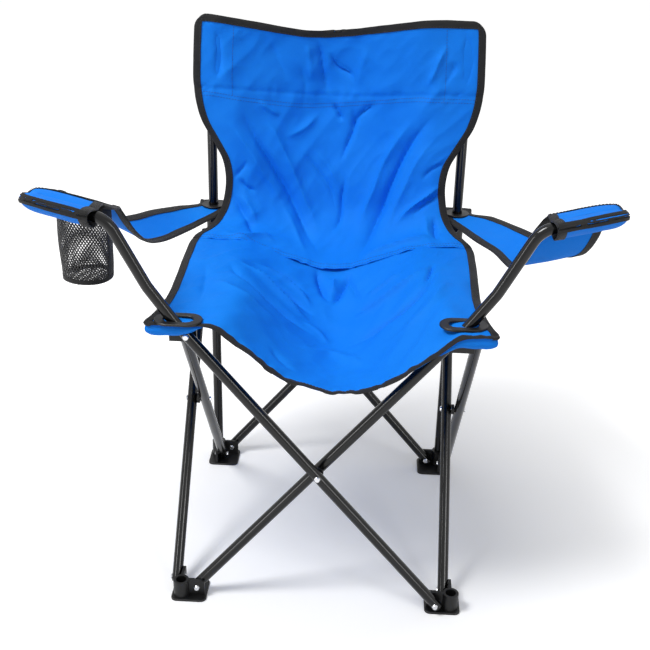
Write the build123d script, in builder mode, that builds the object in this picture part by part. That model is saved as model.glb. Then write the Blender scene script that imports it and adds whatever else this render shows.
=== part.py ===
"""Folding camp chair: a four-cornered scissor frame of steel tube with a slung fabric seat.

Millimetres, +Z up, the sitter faces -Y. The origin is on the floor, at the middle of the box.
Every corner of the frame is the front left one turned about Z, so each scissor pair is alike.
"""
import os
from math import atan2, cos, degrees, hypot, radians, sin, tan

from build123d import *

# Steel tube, and the fits between the pieces of the frame
TUBE_OD = 16.0
TUBE_WALL = 1.2
RIVET_DIA = 5.0
RIVET_FIT = 0.05
RIVET_HEAD_DIA = 9.0
RIVET_HEAD = 2.0
HEAD_TAPER = 30.0
RUN_GAP = 0.3
SLIDE_FIT = 0.1
TUBE_LAP = 7.0

# Scissor pivots: half their spread, their heights, and the corner beyond them
PIVOT_HALF = 182.0
FOOT_PIVOT_Z = 16.0
HUB_PIVOT_Z = 450.0
CORNER_REACH = 24.0

# Moulded feet
WEB = 4.0
WEB_PAST_PIVOT = 12.0
WEB_ROUND = 5.0
BOSS_DIA = 24.0
FOOT_HEIGHT = 30.0
BASE_SIDE = 54.0
BASE_THICK = 3.0
BASE_ROUND = 9.0
SOCKET_FLOOR = 4.0

# Moulded hubs
HUB_BELOW = 14.0
HUB_ABOVE = 8.0
COLLAR_ABOVE = 40.0
GUSSET = 5.0

# Back posts, which end that far short of the top of the back, and plugs
POST_SHORT = 24.0
PLUG_DIA = 17.4
PLUG_HEIGHT = 7.0
PLUG_DEPTH = 14.0

# Arms, as they leave the front hubs: heights of the bends, leans from upright, length past the last
ARM_BEND_Z = (469.0, 520.0, 612.0)
ARM_LEAN = (35.0, 27.5, 76.0)
ARM_BEND_R = (60.0, 60.0, 42.0)
ARM_TIP = 90.0

# Fabric
CLOTH = 1.2
SEAT_EDGE_Z = 471.0
SEAT_FRONT_HALF = 244.0
SEAT_MIDDLE_HALF = 222.0
SEAT_REAR_HALF = 200.0
SEAT_SEAM_HALF = 224.0
KNEE_RUN = 18.0
SEAT_KNEE = 142.0
SEAT_FRONT_SAG = 90.0
SEAT_DEEP_SAG = 102.0
SEAT_SEAM_SAG = 48.0
SEAT_REAR_SAG = 30.0
SEAT_FRONT_PAST = 24.0
SEAT_FRONT_BOW = 12.0
SEAT_FLARE_Y = -160.0
SEAT_FLARE_HALF = 224.0
SEAT_FLARE_SAG = 98.0
SEAT_MIDDLE_Y = -60.0
SEAT_SEAM_Y = 100.0
SEAT_REAR_GAP = 10.0
SEAT_ROUND = 0.4
BACK_GAP = 0.5
WAIST_Z = 545.0
WAIST_HALF = 180.0
WAIST_SAG = 32.0
WAIST_DROP = 24.0
WAIST_Y = 186.0
WAIST_KNEE = 145.0
LOIN_HALF = 184.0
LOIN_Y = 170.0
LOIN_Z = 494.0
LOIN_SAG = 26.0
LOIN_DROP = 30.0
TUCK_HALF = 200.0
TUCK_Y = 150.0
TUCK_Z = 479.0
TUCK_SAG = 12.0
TUCK_DROP = 32.0
POST_KNEE = 162.0
CHEST_DROP = 124.0
CHEST_HALF = 228.0
CHEST_SAG = 46.0
SHOULDER_DROP = 62.0
SHOULDER_HALF = 229.0
SHOULDER_SAG = 40.0
TOP_Z = 812.0
TOP_HALF = 226.0
TOP_SAG = 30.0
TOP_DIP = 36.0
POCKET_WIDTH = 46.0
POCKET_DROP = 108.0
POCKET_BULGE = 13.0

# Seat corner eyelets
EYELET_LENGTH = 66.0
EYELET_WIDTH = 40.0
EYELET_THICK = 3.0
SLOT_LENGTH = 41.0
SLOT_WIDTH = 20.0
SLOT_INSIDE = 10.0

# Armrests: the sleeve on each arm's tip, and stations of the strap behind it, back to its post
# A station is (x out from the centre plane, y, z, half width, tilt of its outer edge)
SLEEVE_HALF = 42.0
SLEEVE_START = 16.0
SLEEVE_PAST_TIP = 14.0
STRAP_HALF = 46.0
STRAP_TAIL = 30.0
STRAP_END = ((240.0, 100.0, 494.5, 31.0, 0.0), (219.0, 150.0, 493.2, 24.0, 0.0))
STRAP_TAIL_HALF = 25.0
LEFT_STRAP = (
    (287.0, -45.0, 548.0, 44.0, 10.0), (268.0, 0.0, 526.0, 40.0, 6.0),
    (255.0, 50.0, 508.0, 36.0, 3.0))
RIGHT_STRAP = (
    (318.0, -142.0, 598.0, 46.0, 13.0), (312.0, -122.0, 562.0, 46.0, 11.0),
    (304.0, -95.0, 530.0, 45.0, 9.0), (293.0, -58.0, 506.0, 43.0, 6.0),
    (278.0, 0.0, 494.0, 40.0, 3.0), (260.0, 50.0, 492.0, 36.0, 1.0))
STRAP_EYELET_DIA = 40.0
STRAP_EYELET_THICK = 2.0
TAB_HALF = 13.0
TAB_LAP = 10.0
TAB_THICK = 2.0

# Cup holder: a mesh cup under a round hole in the left armrest
CUP_DIA = 74.0
CUP_FLOOR_DIA = 66.0
CUP_DEPTH = 128.0
CUP_WALL = 1.5
PANEL_LENGTH = 97.0
PANEL_WIDTH = 92.0
PANEL_PITCH = 20.0
PANEL_ROUND = 8.0
PANEL_SIDESTEP = -9.0

# Worked-out sizes
R = TUBE_OD / 2
CORNER = PIVOT_HALF + CORNER_REACH
OFFSET = WEB / 2 + RUN_GAP + R
PIVOT_RISE = HUB_PIVOT_Z - FOOT_PIVOT_Z
LEAN = degrees(atan2(2 * PIVOT_HALF, PIVOT_RISE))
STRUT = hypot(2 * PIVOT_HALF, PIVOT_RISE)
CROSS_Z = (FOOT_PIVOT_Z + HUB_PIVOT_Z) / 2
INNER_Y = -CORNER + OFFSET
OUTER_Y = -CORNER - OFFSET
HOLE_R = RIVET_DIA / 2 + RIVET_FIT
POST_BORE_R = R + SLIDE_FIT
SLEEVE_RISE = PLUG_DIA / 2 + RUN_GAP + CLOTH
BACK_Y = CORNER - PLUG_DIA / 2 - BACK_GAP - CLOTH
POST_TOP = TOP_Z - POST_SHORT
SHOULDER_Z = TOP_Z - SHOULDER_DROP
CHEST_Z = TOP_Z - CHEST_DROP
REAR_Y = CORNER + STRAP_TAIL
FRONT_Y = OUTER_Y - SLEEVE_HALF
SHIFT_Y = -(BACK_Y + CHEST_SAG + CLOTH + FRONT_Y) / 2
CORNERS = ("front_left", "front_right", "rear_right", "rear_left")
SIDES = ("front", "right", "rear", "left")

os.makedirs("parts", exist_ok=True)


def finish(piece, name, turn=0.0):
    """Turn a finished piece about Z, set it in the chair's frame, name it and write it."""
    placed = piece.rotate(Axis.Z, turn).moved(Location((0, SHIFT_Y, 0)))
    placed.label = name
    export_step(placed, f"parts/{name}.step")


def arm_points(side):
    """Points of a front tube in X and Z from its foot to its arm's tip, for side -1 left or 1 right."""
    unit = (side * sin(radians(LEAN)), cos(radians(LEAN)))
    points = [(-side * PIVOT_HALF - TUBE_LAP * unit[0], FOOT_PIVOT_Z - TUBE_LAP * unit[1])]
    x = side * (PIVOT_HALF + (ARM_BEND_Z[0] - HUB_PIVOT_Z) * tan(radians(LEAN)))
    points.append((x, ARM_BEND_Z[0]))
    for low, high, lean in zip(ARM_BEND_Z[:2], ARM_BEND_Z[1:], ARM_LEAN[:2]):
        x += side * (high - low) * tan(radians(lean))
        points.append((x, high))
    tip = radians(ARM_LEAN[2])
    points.append((x + side * ARM_TIP * sin(tip), ARM_BEND_Z[2] + ARM_TIP * cos(tip)))
    return points


def rivet_hole(x, y, z):
    """Cut a rivet's hole along Y through the part that is being built."""
    with BuildSketch(Plane(origin=(x, y, z), x_dir=(1, 0, 0), z_dir=(0, 1, 0))) as hole:
        Circle(HOLE_R)
    extrude(hole.sketch, amount=TUBE_OD, both=True, mode=Mode.SUBTRACT)


def straight_tube(y, side):
    """A plain scissor tube in the front plane, from the foot on -side to the hub on side."""
    start = (-side * PIVOT_HALF, y, FOOT_PIVOT_Z)
    run = (side * sin(radians(LEAN)), 0, cos(radians(LEAN)))
    with BuildPart() as tube:
        with BuildSketch(Plane(origin=start, x_dir=(0, 1, 0), z_dir=run).offset(-TUBE_LAP)):
            Circle(R)
            Circle(R - TUBE_WALL, mode=Mode.SUBTRACT)
        extrude(amount=STRUT + 2 * TUBE_LAP)
        rivet_hole(-side * PIVOT_HALF, y, FOOT_PIVOT_Z)
        rivet_hole(0, y, CROSS_Z)
        rivet_hole(side * PIVOT_HALF, y, HUB_PIVOT_Z)
    return tube.part


def arm_tube(y, side):
    """A front scissor tube that runs on past its hub and bends out to carry an armrest."""
    points = arm_points(side)
    with BuildPart() as tube:
        with BuildLine(Plane.XZ.offset(-y)) as path:
            FilletPolyline(*points, radius=list(ARM_BEND_R))
        with BuildSketch(Plane(origin=path.line @ 0, x_dir=(0, 1, 0), z_dir=path.line % 0)):
            Circle(R)
            Circle(R - TUBE_WALL, mode=Mode.SUBTRACT)
        sweep(path=path.line)
        rivet_hole(-side * PIVOT_HALF, y, FOOT_PIVOT_Z)
        rivet_hole(0, y, CROSS_Z)
        rivet_hole(side * PIVOT_HALF, y, HUB_PIVOT_Z)
    return tube.part


def web(along, low, high):
    """One upright web of a corner moulding, along X or along Y, with its rivet's hole."""
    length = CORNER_REACH + WEB_PAST_PIVOT
    pivot_z = FOOT_PIVOT_Z if low < FOOT_PIVOT_Z else HUB_PIVOT_Z
    if along == "x":
        face = Plane(origin=(-CORNER, -CORNER, 0), x_dir=(1, 0, 0), z_dir=(0, -1, 0))
    else:
        face = Plane(origin=(-CORNER, -CORNER, 0), x_dir=(0, 1, 0), z_dir=(1, 0, 0))
    with BuildSketch(face) as outline:
        with Locations((length / 2, (low + high) / 2)):
            Rectangle(length, high - low)
    extrude(outline.sketch, amount=WEB / 2, both=True)
    with BuildSketch(face) as hole:
        with Locations((CORNER_REACH, pivot_z)):
            Circle(HOLE_R)
    extrude(hole.sketch, amount=WEB, both=True, mode=Mode.SUBTRACT)


def boss(low, high, floor):
    """The upright boss at a corner, bored for a post down to the floor height."""
    with BuildSketch(Plane.XY.offset(low)) as outline:
        with Locations((-CORNER, -CORNER)):
            Circle(BOSS_DIA / 2)
    extrude(outline.sketch, amount=high - low)
    with BuildSketch(Plane.XY.offset(floor)) as bore:
        with Locations((-CORNER, -CORNER)):
            Circle(POST_BORE_R)
    extrude(bore.sketch, amount=high - floor, mode=Mode.SUBTRACT)


def round_web_ends(part):
    """Round the upper free corner of each web."""
    reach = -CORNER + CORNER_REACH + WEB_PAST_PIVOT
    ends = part.edges().filter_by(Axis.Y).filter_by(lambda e: abs(e.center().X - reach) < WEB / 4)
    ends += part.edges().filter_by(Axis.X).filter_by(lambda e: abs(e.center().Y - reach) < WEB / 4)
    fillet(ends.group_by(Axis.Z)[-1], WEB_ROUND)


def foot():
    """A moulded foot: base flange, post socket and the two webs that the tubes are riveted to."""
    middle = -CORNER + (CORNER_REACH + WEB_PAST_PIVOT) / 2 - BOSS_DIA / 4
    with BuildPart() as moulding:
        with BuildSketch():
            with Locations((middle, middle)):
                RectangleRounded(BASE_SIDE, BASE_SIDE, BASE_ROUND)
        extrude(amount=BASE_THICK)
        chamfer(moulding.edges().group_by(Axis.Z)[-1], BASE_THICK / 4)
        web("x", 0, FOOT_HEIGHT)
        web("y", 0, FOOT_HEIGHT)
        round_web_ends(moulding)
        boss(0, FOOT_HEIGHT, SOCKET_FLOOR)
    return moulding.part


def front_hub():
    """The bracket under a front seat corner, which joins a front tube to a side tube."""
    low, high = HUB_PIVOT_Z - HUB_BELOW, HUB_PIVOT_Z + HUB_ABOVE
    with BuildPart() as moulding:
        web("x", low, high)
        web("y", low, high)
        round_web_ends(moulding)
        with BuildSketch(Plane.XY.offset(low)):
            with Locations((-CORNER, -CORNER)):
                Rectangle(GUSSET, GUSSET, align=(Align.MIN, Align.MIN))
                Rectangle(WEB, WEB)
        extrude(amount=high - low)
    return moulding.part


def rear_collar():
    """The collar that slides on a back post and joins a rear tube to a side tube."""
    low, high = HUB_PIVOT_Z - HUB_BELOW, HUB_PIVOT_Z + HUB_ABOVE
    with BuildPart() as moulding:
        web("x", low, high)
        web("y", low, high)
        round_web_ends(moulding)
        boss(low, HUB_PIVOT_Z + COLLAR_ABOVE, low)
    return moulding.part


def rivet(plane, length):
    """Add a domed rivet whose shank starts at the plane and runs along its normal."""
    with BuildSketch(plane) as shank:
        Circle(RIVET_DIA / 2)
    extrude(shank.sketch, amount=length)
    for start, away in ((plane, -1), (plane.offset(length), 1)):
        with BuildSketch(start) as head:
            Circle(RIVET_HEAD_DIA / 2)
        extrude(head.sketch, amount=away * RIVET_HEAD, taper=HEAD_TAPER)


def corner_rivets(z, tube_outside_x_web):
    """The two rivets of a corner moulding, one through each web and the tube beside it."""
    length = WEB + 2 * RUN_GAP + TUBE_OD
    tube_side = WEB / 2 + 2 * RUN_GAP + TUBE_OD
    starts = (tube_side, WEB / 2) if tube_outside_x_web else (WEB / 2, tube_side)
    with BuildPart() as pins:
        rivet(Plane(origin=(-PIVOT_HALF, -CORNER - starts[0], z), x_dir=(1, 0, 0), z_dir=(0, 1, 0)), length)
        rivet(Plane(origin=(-CORNER - starts[1], -PIVOT_HALF, z), x_dir=(0, 1, 0), z_dir=(1, 0, 0)), length)
    return pins.part


def cross_rivet():
    """The rivet where the two front tubes cross."""
    length = 2 * (OFFSET + R + RUN_GAP)
    with BuildPart() as pin:
        rivet(Plane(origin=(0, -CORNER - length / 2, CROSS_Z), x_dir=(1, 0, 0), z_dir=(0, 1, 0)), length)
    return pin.part


def cross_spacer():
    """The washer between the two front tubes where they cross."""
    with BuildPart() as washer:
        with BuildSketch(Plane(origin=(0, -CORNER, CROSS_Z), x_dir=(1, 0, 0), z_dir=(0, 1, 0))):
            Circle(R)
            Circle(HOLE_R, mode=Mode.SUBTRACT)
        extrude(amount=WEB / 2, both=True)
    return washer.part


def plug(plane):
    """A plastic plug in a tube's end: a domed head on the plane and a stem down the tube."""
    with BuildPart() as cap:
        with BuildSketch(plane):
            Circle(PLUG_DIA / 2)
        extrude(amount=PLUG_HEIGHT)
        fillet(cap.faces().sort_by(Axis(plane.origin, plane.z_dir))[-1].edges(), PLUG_HEIGHT / 2)
        with BuildSketch(plane):
            Circle(R - TUBE_WALL - RIVET_FIT)
        extrude(amount=-PLUG_DEPTH)
    return cap.part


def back_post():
    """The rear left post, from its foot's socket to the head of the back."""
    with BuildPart() as tube:
        with BuildSketch(Plane.XY.offset(SOCKET_FLOOR)):
            with Locations((-CORNER, CORNER)):
                Circle(R)
                Circle(R - TUBE_WALL, mode=Mode.SUBTRACT)
        extrude(amount=POST_TOP - SOCKET_FLOOR)
    return tube.part


def slung_section(half, edge, middle, knee, round_share):
    """A band of cloth across the chair: level to the knees, then a rounded V down to the middle.

    edge and middle are (y, z) of the cloth's sitting face at its sides and on the centre line.
    """
    rise = hypot(edge[0] - middle[0], edge[1] - middle[1])
    up = Vector(0, edge[0] - middle[0], edge[1] - middle[1]).normalized()
    plane = Plane(origin=(0, *edge), x_dir=(1, 0, 0), z_dir=Vector(1, 0, 0).cross(up))
    depth = rise / (1 - round_share / 2)
    slope = atan2(depth, knee)
    bottom_r = round_share * hypot(knee, depth) / tan(slope)
    knee_r = KNEE_RUN / tan(slope / 2)
    with BuildSketch(plane) as section:
        with BuildLine():
            faces = []
            for drop in (0, -CLOTH):
                faces.append(FilletPolyline(
                    (-half, drop), (-knee, drop), (0, drop - depth), (knee, drop), (half, drop),
                    radius=[knee_r, bottom_r, knee_r]))
            Line((-half, 0), (-half, -CLOTH))
            Line((half, 0), (half, -CLOTH))
        make_face()
    return section.sketch


def seat_sections():
    """The seat's cross-sections from under the back to past its front edge."""
    front_y = OUTER_Y - SEAT_FRONT_PAST
    rear_y = CORNER - OFFSET - R - SEAT_REAR_GAP
    rows = (
        (SEAT_REAR_HALF, rear_y, SEAT_REAR_SAG),
        (SEAT_SEAM_HALF, SEAT_SEAM_Y, SEAT_SEAM_SAG),
        (SEAT_MIDDLE_HALF, SEAT_MIDDLE_Y, SEAT_DEEP_SAG),
        (SEAT_FLARE_HALF, SEAT_FLARE_Y, SEAT_FLARE_SAG),
        (SEAT_FRONT_HALF, front_y, SEAT_FRONT_SAG),
    )
    sections = []
    for half, y, sag in rows:
        middle = (y, SEAT_EDGE_Z - sag)
        sections.append(slung_section(half, (y, SEAT_EDGE_Z), middle, SEAT_KNEE, SEAT_ROUND))
    return sections


def eyelet_x():
    """Middle of a seat eyelet's slot, measured out from the chair's centre plane."""
    return PIVOT_HALF - SLOT_INSIDE + SLOT_LENGTH / 2


def seat_half(side):
    """One half of the seat, cut on the centre line where the chair folds."""
    front_y = OUTER_Y - SEAT_FRONT_PAST
    with BuildPart() as cloth:
        add(seat_sections())
        loft()
        with BuildSketch(Plane.XY.offset(SEAT_EDGE_Z - 2 * SEAT_DEEP_SAG)):
            with BuildLine():
                half = SEAT_FRONT_HALF
                ThreePointArc((-half, front_y), (0, front_y + SEAT_FRONT_BOW), (half, front_y))
                Polyline((half, front_y), (half, front_y - CORNER),
                         (-half, front_y - CORNER), (-half, front_y))
            make_face()
        extrude(amount=3 * SEAT_DEEP_SAG, mode=Mode.SUBTRACT)
        for hand, y in ((-1, OUTER_Y), (1, INNER_Y)):
            with BuildSketch(Plane.XY.offset(SEAT_EDGE_Z)):
                with Locations((hand * eyelet_x(), y)):
                    SlotOverall(SLOT_LENGTH + 2 * CLOTH, SLOT_WIDTH + 2 * CLOTH)
            extrude(amount=SEAT_REAR_SAG, both=True, mode=Mode.SUBTRACT)
        split(bisect_by=Plane.YZ.offset(side * RUN_GAP / 2), keep=Keep.TOP if side > 0 else Keep.BOTTOM)
    return cloth.part


def seat_eyelet(side):
    """The moulded eyelet on a front seat corner, with room for the tube to turn as the chair folds."""
    y = OUTER_Y if side < 0 else INNER_Y
    with BuildPart() as plate:
        with BuildSketch(Plane.XY.offset(SEAT_EDGE_Z + RUN_GAP)):
            with Locations((side * eyelet_x(), y)):
                SlotOverall(EYELET_LENGTH, EYELET_WIDTH)
                SlotOverall(SLOT_LENGTH, SLOT_WIDTH, mode=Mode.SUBTRACT)
        extrude(amount=EYELET_THICK)
        chamfer(plate.edges().group_by(Axis.Z)[-1], EYELET_THICK / 3)
    return plate.part


def back_panel():
    """The back, from its seam with the seat up over the fronts of the posts, with a dipped top edge."""
    seam = (SEAT_SEAM_Y + RUN_GAP, SEAT_EDGE_Z + CLOTH + RUN_GAP)
    upright = (
        (TOP_HALF, (BACK_Y, TOP_Z), (BACK_Y + TOP_SAG, TOP_Z), POST_KNEE),
        (SHOULDER_HALF, (BACK_Y, SHOULDER_Z), (BACK_Y + SHOULDER_SAG, SHOULDER_Z), POST_KNEE),
        (CHEST_HALF, (BACK_Y, CHEST_Z), (BACK_Y + CHEST_SAG, CHEST_Z), POST_KNEE),
    )
    waist = (WAIST_HALF, (WAIST_Y, WAIST_Z), (WAIST_Y + WAIST_SAG, WAIST_Z - WAIST_DROP), WAIST_KNEE)
    sloping = (
        (LOIN_HALF, (LOIN_Y, LOIN_Z), (LOIN_Y + LOIN_SAG, LOIN_Z - LOIN_DROP), WAIST_KNEE),
        (TUCK_HALF, (TUCK_Y, TUCK_Z), (TUCK_Y + TUCK_SAG, TUCK_Z - TUCK_DROP), SEAT_KNEE),
        (SEAT_SEAM_HALF, seam, (seam[0], seam[1] - SEAT_SEAM_SAG), SEAT_KNEE),
    )
    with BuildPart() as cloth:
        # the upright part and the slope down to the seam meet on the waist's section
        for rows, straight in (((*upright, waist), False), ((waist, *sloping), True)):
            loft(sections=[slung_section(*row, SEAT_ROUND).face() for row in rows], ruled=straight)
        with BuildSketch(Plane.XZ.offset(-SEAT_SEAM_Y)):
            with BuildLine():
                ThreePointArc((-TOP_HALF, TOP_Z), (0, TOP_Z - TOP_DIP), (TOP_HALF, TOP_Z))
                Line((TOP_HALF, TOP_Z), (-TOP_HALF, TOP_Z))
            make_face()
        extrude(amount=-2 * CORNER, mode=Mode.SUBTRACT)
    return cloth.part


def head_pocket():
    """The left pocket sewn behind the back, which slips over the top of its post."""
    front = BACK_Y + CLOTH + BACK_GAP
    top = POST_TOP + PLUG_HEIGHT + BACK_GAP
    half = POCKET_WIDTH / 2
    with BuildPart() as cloth:
        shells = ((0, Mode.ADD, POCKET_DROP + CLOTH), (CLOTH, Mode.SUBTRACT, POCKET_DROP))
        for shrink, mode, height in shells:
            with BuildSketch(Plane.XY.offset(top - POCKET_DROP)):
                with BuildLine():
                    reach = half - shrink
                    ThreePointArc((-CORNER - reach, CORNER), (-CORNER, CORNER + POCKET_BULGE - shrink),
                                  (-CORNER + reach, CORNER))
                    Polyline((-CORNER + reach, CORNER), (-CORNER + reach, front), (-CORNER - reach, front),
                             (-CORNER - reach, CORNER))
                make_face()
            extrude(amount=height, mode=mode)
    return cloth.part


def tip_plane(side, along):
    """A plane across an arm's tip, the given distance past its last bend, with local X along +Y."""
    x, z = arm_points(side)[-2]
    run = Vector(side * sin(radians(ARM_LEAN[2])), 0, cos(radians(ARM_LEAN[2])))
    start = Vector(x, OUTER_Y if side < 0 else INNER_Y, z) + run * along
    return Plane(origin=start, x_dir=(0, 1, 0), z_dir=run)


def panel_plane(side):
    """The plane of the armrest behind a sleeve: X out along the arm's tip, Y back and down."""
    middle = tip_plane(side, SLEEVE_START + (ARM_TIP - SLEEVE_START + SLEEVE_PAST_TIP) / 2)
    origin = middle.origin + Vector(0, SLEEVE_HALF, 0)
    back = Vector(0, cos(radians(PANEL_PITCH)), -sin(radians(PANEL_PITCH)))
    return Plane(origin=origin, x_dir=middle.z_dir, z_dir=middle.z_dir.cross(back) * side)


def cup_axis():
    """Where the cup holder's upright axis meets the left armrest."""
    return panel_plane(-1).from_local_coords(Vector(PANEL_SIDESTEP, -PANEL_WIDTH / 2, 0))


def arm_sleeve(side):
    """The flat sleeve of an armrest, which slips over its arm, with the cup's panel on the left."""
    length = ARM_TIP - SLEEVE_START + SLEEVE_PAST_TIP
    with BuildPart() as cloth:
        for shrink, mode, run in ((0, Mode.ADD, length), (CLOTH, Mode.SUBTRACT, length - CLOTH)):
            half = SLEEVE_HALF - 2 * shrink
            with BuildSketch(tip_plane(side, SLEEVE_START)):
                with BuildLine():
                    ThreePointArc((-half, 0), (0, SLEEVE_RISE - shrink), (half, 0))
                    ThreePointArc((half, 0), (0, shrink - SLEEVE_RISE), (-half, 0))
                make_face()
            extrude(amount=run, mode=mode)
        if side < 0:
            with BuildSketch(panel_plane(side)):
                with Locations((PANEL_SIDESTEP, CLOTH - PANEL_WIDTH / 2)):
                    RectangleRounded(PANEL_LENGTH, PANEL_WIDTH, PANEL_ROUND)
            extrude(amount=CLOTH)
            axis = cup_axis()
            with BuildSketch(Plane.XY.offset(axis.Z - CUP_DEPTH)):
                with Locations((axis.X, axis.Y)):
                    Circle(CUP_DIA / 2)
            extrude(amount=2 * CUP_DEPTH, mode=Mode.SUBTRACT)
    return cloth.part


def ribbon(stations, thickness):
    """A strip of cloth lofted through (centre, half width, direction across) stations."""
    with BuildPart() as strip:
        for i, (centre, half, across) in enumerate(stations):
            run = stations[min(i + 1, len(stations) - 1)][0] - stations[max(i - 1, 0)][0]
            run = run - across * run.dot(across)
            with BuildSketch(Plane(origin=centre, x_dir=across, z_dir=run)):
                Rectangle(2 * half, thickness)
        loft(ruled=True)
    return strip.part


def arm_strap(side):
    """The armrest's strap, from behind its sleeve back to its eyelet on the post."""
    panel = panel_plane(side)
    back = PANEL_WIDTH - CLOTH if side < 0 else 0
    sidestep = PANEL_SIDESTEP if side < 0 else 0
    start = panel.from_local_coords(Vector(sidestep, side * (back + RUN_GAP + CLOTH / 2), 0))
    rows = [(start, STRAP_HALF, panel.x_dir * side)]
    for x, y, z, half, tilt in (LEFT_STRAP if side < 0 else RIGHT_STRAP) + STRAP_END:
        across = Vector(cos(radians(tilt)), 0, side * sin(radians(tilt)))
        rows.append((Vector(side * x, y, z), half, across))
    rows.append((Vector(side * CORNER, REAR_Y, STRAP_END[-1][2]), STRAP_TAIL_HALF, Vector(1, 0, 0)))
    with BuildPart() as cloth:
        add(ribbon(rows, CLOTH))
        with BuildSketch(Plane.XY.offset(STRAP_END[-1][2])):
            with Locations((side * CORNER, CORNER)):
                Circle(POST_BORE_R + CLOTH)
        extrude(amount=SLEEVE_RISE, both=True, mode=Mode.SUBTRACT)
    return cloth.part


def strap_eyelet(side):
    """The eyelet ring on top of an armrest's rear end, round its post."""
    with BuildPart() as ring:
        with BuildSketch(Plane.XY.offset(STRAP_END[-1][2] + CLOTH / 2 + RUN_GAP)):
            with Locations((side * CORNER, CORNER)):
                Circle(STRAP_EYELET_DIA / 2)
                Circle(POST_BORE_R, mode=Mode.SUBTRACT)
        extrude(amount=STRAP_EYELET_THICK)
        chamfer(ring.edges().group_by(Axis.Z)[-1], STRAP_EYELET_THICK / 3)
    return ring.part


def seat_tab(side):
    """The webbing tab that holds a rear seat corner on top of its collar, round the post."""
    top = HUB_PIVOT_Z + COLLAR_ABOVE + RUN_GAP + TAB_THICK / 2
    low = SEAT_EDGE_Z + RUN_GAP + TAB_THICK
    seat_end = CORNER - OFFSET - R - SEAT_REAR_GAP
    across = Vector(1, 0, 0)
    rows = [
        (Vector(side * CORNER, CORNER + TAB_HALF, top), TAB_HALF, across),
        (Vector(side * CORNER, CORNER - BOSS_DIA / 2, top), TAB_HALF, across),
        (Vector(side * (SEAT_REAR_HALF - TAB_HALF / 2), seat_end, low), TAB_HALF, across),
        (Vector(side * (SEAT_REAR_HALF - TAB_HALF), seat_end - TAB_LAP, low), TAB_HALF, across),
    ]
    with BuildPart() as webbing:
        add(ribbon(rows, TAB_THICK))
        with BuildSketch(Plane.XY.offset(top)):
            with Locations((side * CORNER, CORNER)):
                Circle(POST_BORE_R)
        extrude(amount=TAB_LAP, both=True, mode=Mode.SUBTRACT)
    return webbing.part


def cup_holder():
    """The mesh cup, hung upright from the hole in the left armrest."""
    axis = cup_axis()
    floor_z = axis.Z - CUP_DEPTH + CUP_DIA / 2 * tan(radians(PANEL_PITCH))
    half, floor_half = CUP_DIA / 2 - RUN_GAP, CUP_FLOOR_DIA / 2
    high = CUP_DEPTH + CUP_DIA / 2
    flare = (half - floor_half) / CUP_DEPTH
    with BuildPart() as cup:
        with BuildSketch(Plane(origin=(axis.X, axis.Y, floor_z), x_dir=(1, 0, 0), z_dir=(0, -1, 0))):
            with BuildLine():
                Polyline((0, 0), (floor_half, 0), (half, CUP_DEPTH), (half, high), (half - CUP_WALL, high),
                         (half - CUP_WALL, CUP_DEPTH), (floor_half - CUP_WALL + flare * CUP_WALL, CUP_WALL),
                         (0, CUP_WALL), (0, 0))
            make_face()
        revolve(axis=Axis((axis.X, axis.Y, 0), (0, 0, 1)))
        split(bisect_by=panel_plane(-1).offset(CLOTH), keep=Keep.BOTTOM)
    return cup.part


if __name__ == "__main__":
    for turn, corner in enumerate(CORNERS):
        angle = 90.0 * turn
        finish(foot(), f"foot_{corner}", angle)
        finish(corner_rivets(FOOT_PIVOT_Z, False), f"foot_rivets_{corner}", angle)
        hub = front_hub() if corner.startswith("front") else rear_collar()
        finish(hub, f"hub_{corner}", angle)
        finish(corner_rivets(HUB_PIVOT_Z, True), f"hub_rivets_{corner}", angle)
    for turn, side_name in enumerate(SIDES):
        angle = 90.0 * turn
        make = arm_tube if side_name == "front" else straight_tube
        finish(make(INNER_Y, 1), f"tube_{side_name}_inner", angle)
        finish(make(OUTER_Y, -1), f"tube_{side_name}_outer", angle)
        finish(cross_rivet(), f"cross_rivet_{side_name}", angle)
        finish(cross_spacer(), f"cross_spacer_{side_name}", angle)
    for name, side in (("left", -1), ("right", 1)):
        post_turn = 0.0 if side < 0 else -90.0
        finish(back_post(), f"back_post_{name}", post_turn)
        post_end = Plane(origin=(-CORNER, CORNER, POST_TOP))
        finish(plug(post_end), f"post_plug_{name}", post_turn)
        finish(plug(tip_plane(side, ARM_TIP)), f"arm_plug_{name}")
        finish(seat_half(side), f"seat_{name}")
        finish(seat_eyelet(side), f"seat_eyelet_{name}")
        finish(seat_tab(side), f"seat_tab_{name}")
        pocket = head_pocket()
        finish(pocket if side < 0 else pocket.mirror(Plane.YZ), f"head_pocket_{name}")
        finish(arm_sleeve(side), f"arm_sleeve_{name}")
        finish(arm_strap(side), f"arm_strap_{name}")
        finish(strap_eyelet(side), f"strap_eyelet_{name}")
    finish(back_panel(), "back_panel")
    finish(cup_holder(), "cup_holder")
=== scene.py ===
"""Looks of a folding camp chair: slung blue cloth with black binding on a scissor frame of tube.

Meshes are in metres, and the numbers that lay out a drawn shape are in millimetres. X runs to the
right as the chair is seen from the front, the sitter faces -Y, Z is up.
"""
from __future__ import annotations

import logging
import math
from dataclasses import dataclass
from enum import Enum
from typing import Any, Callable, Iterator, Sequence

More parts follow.
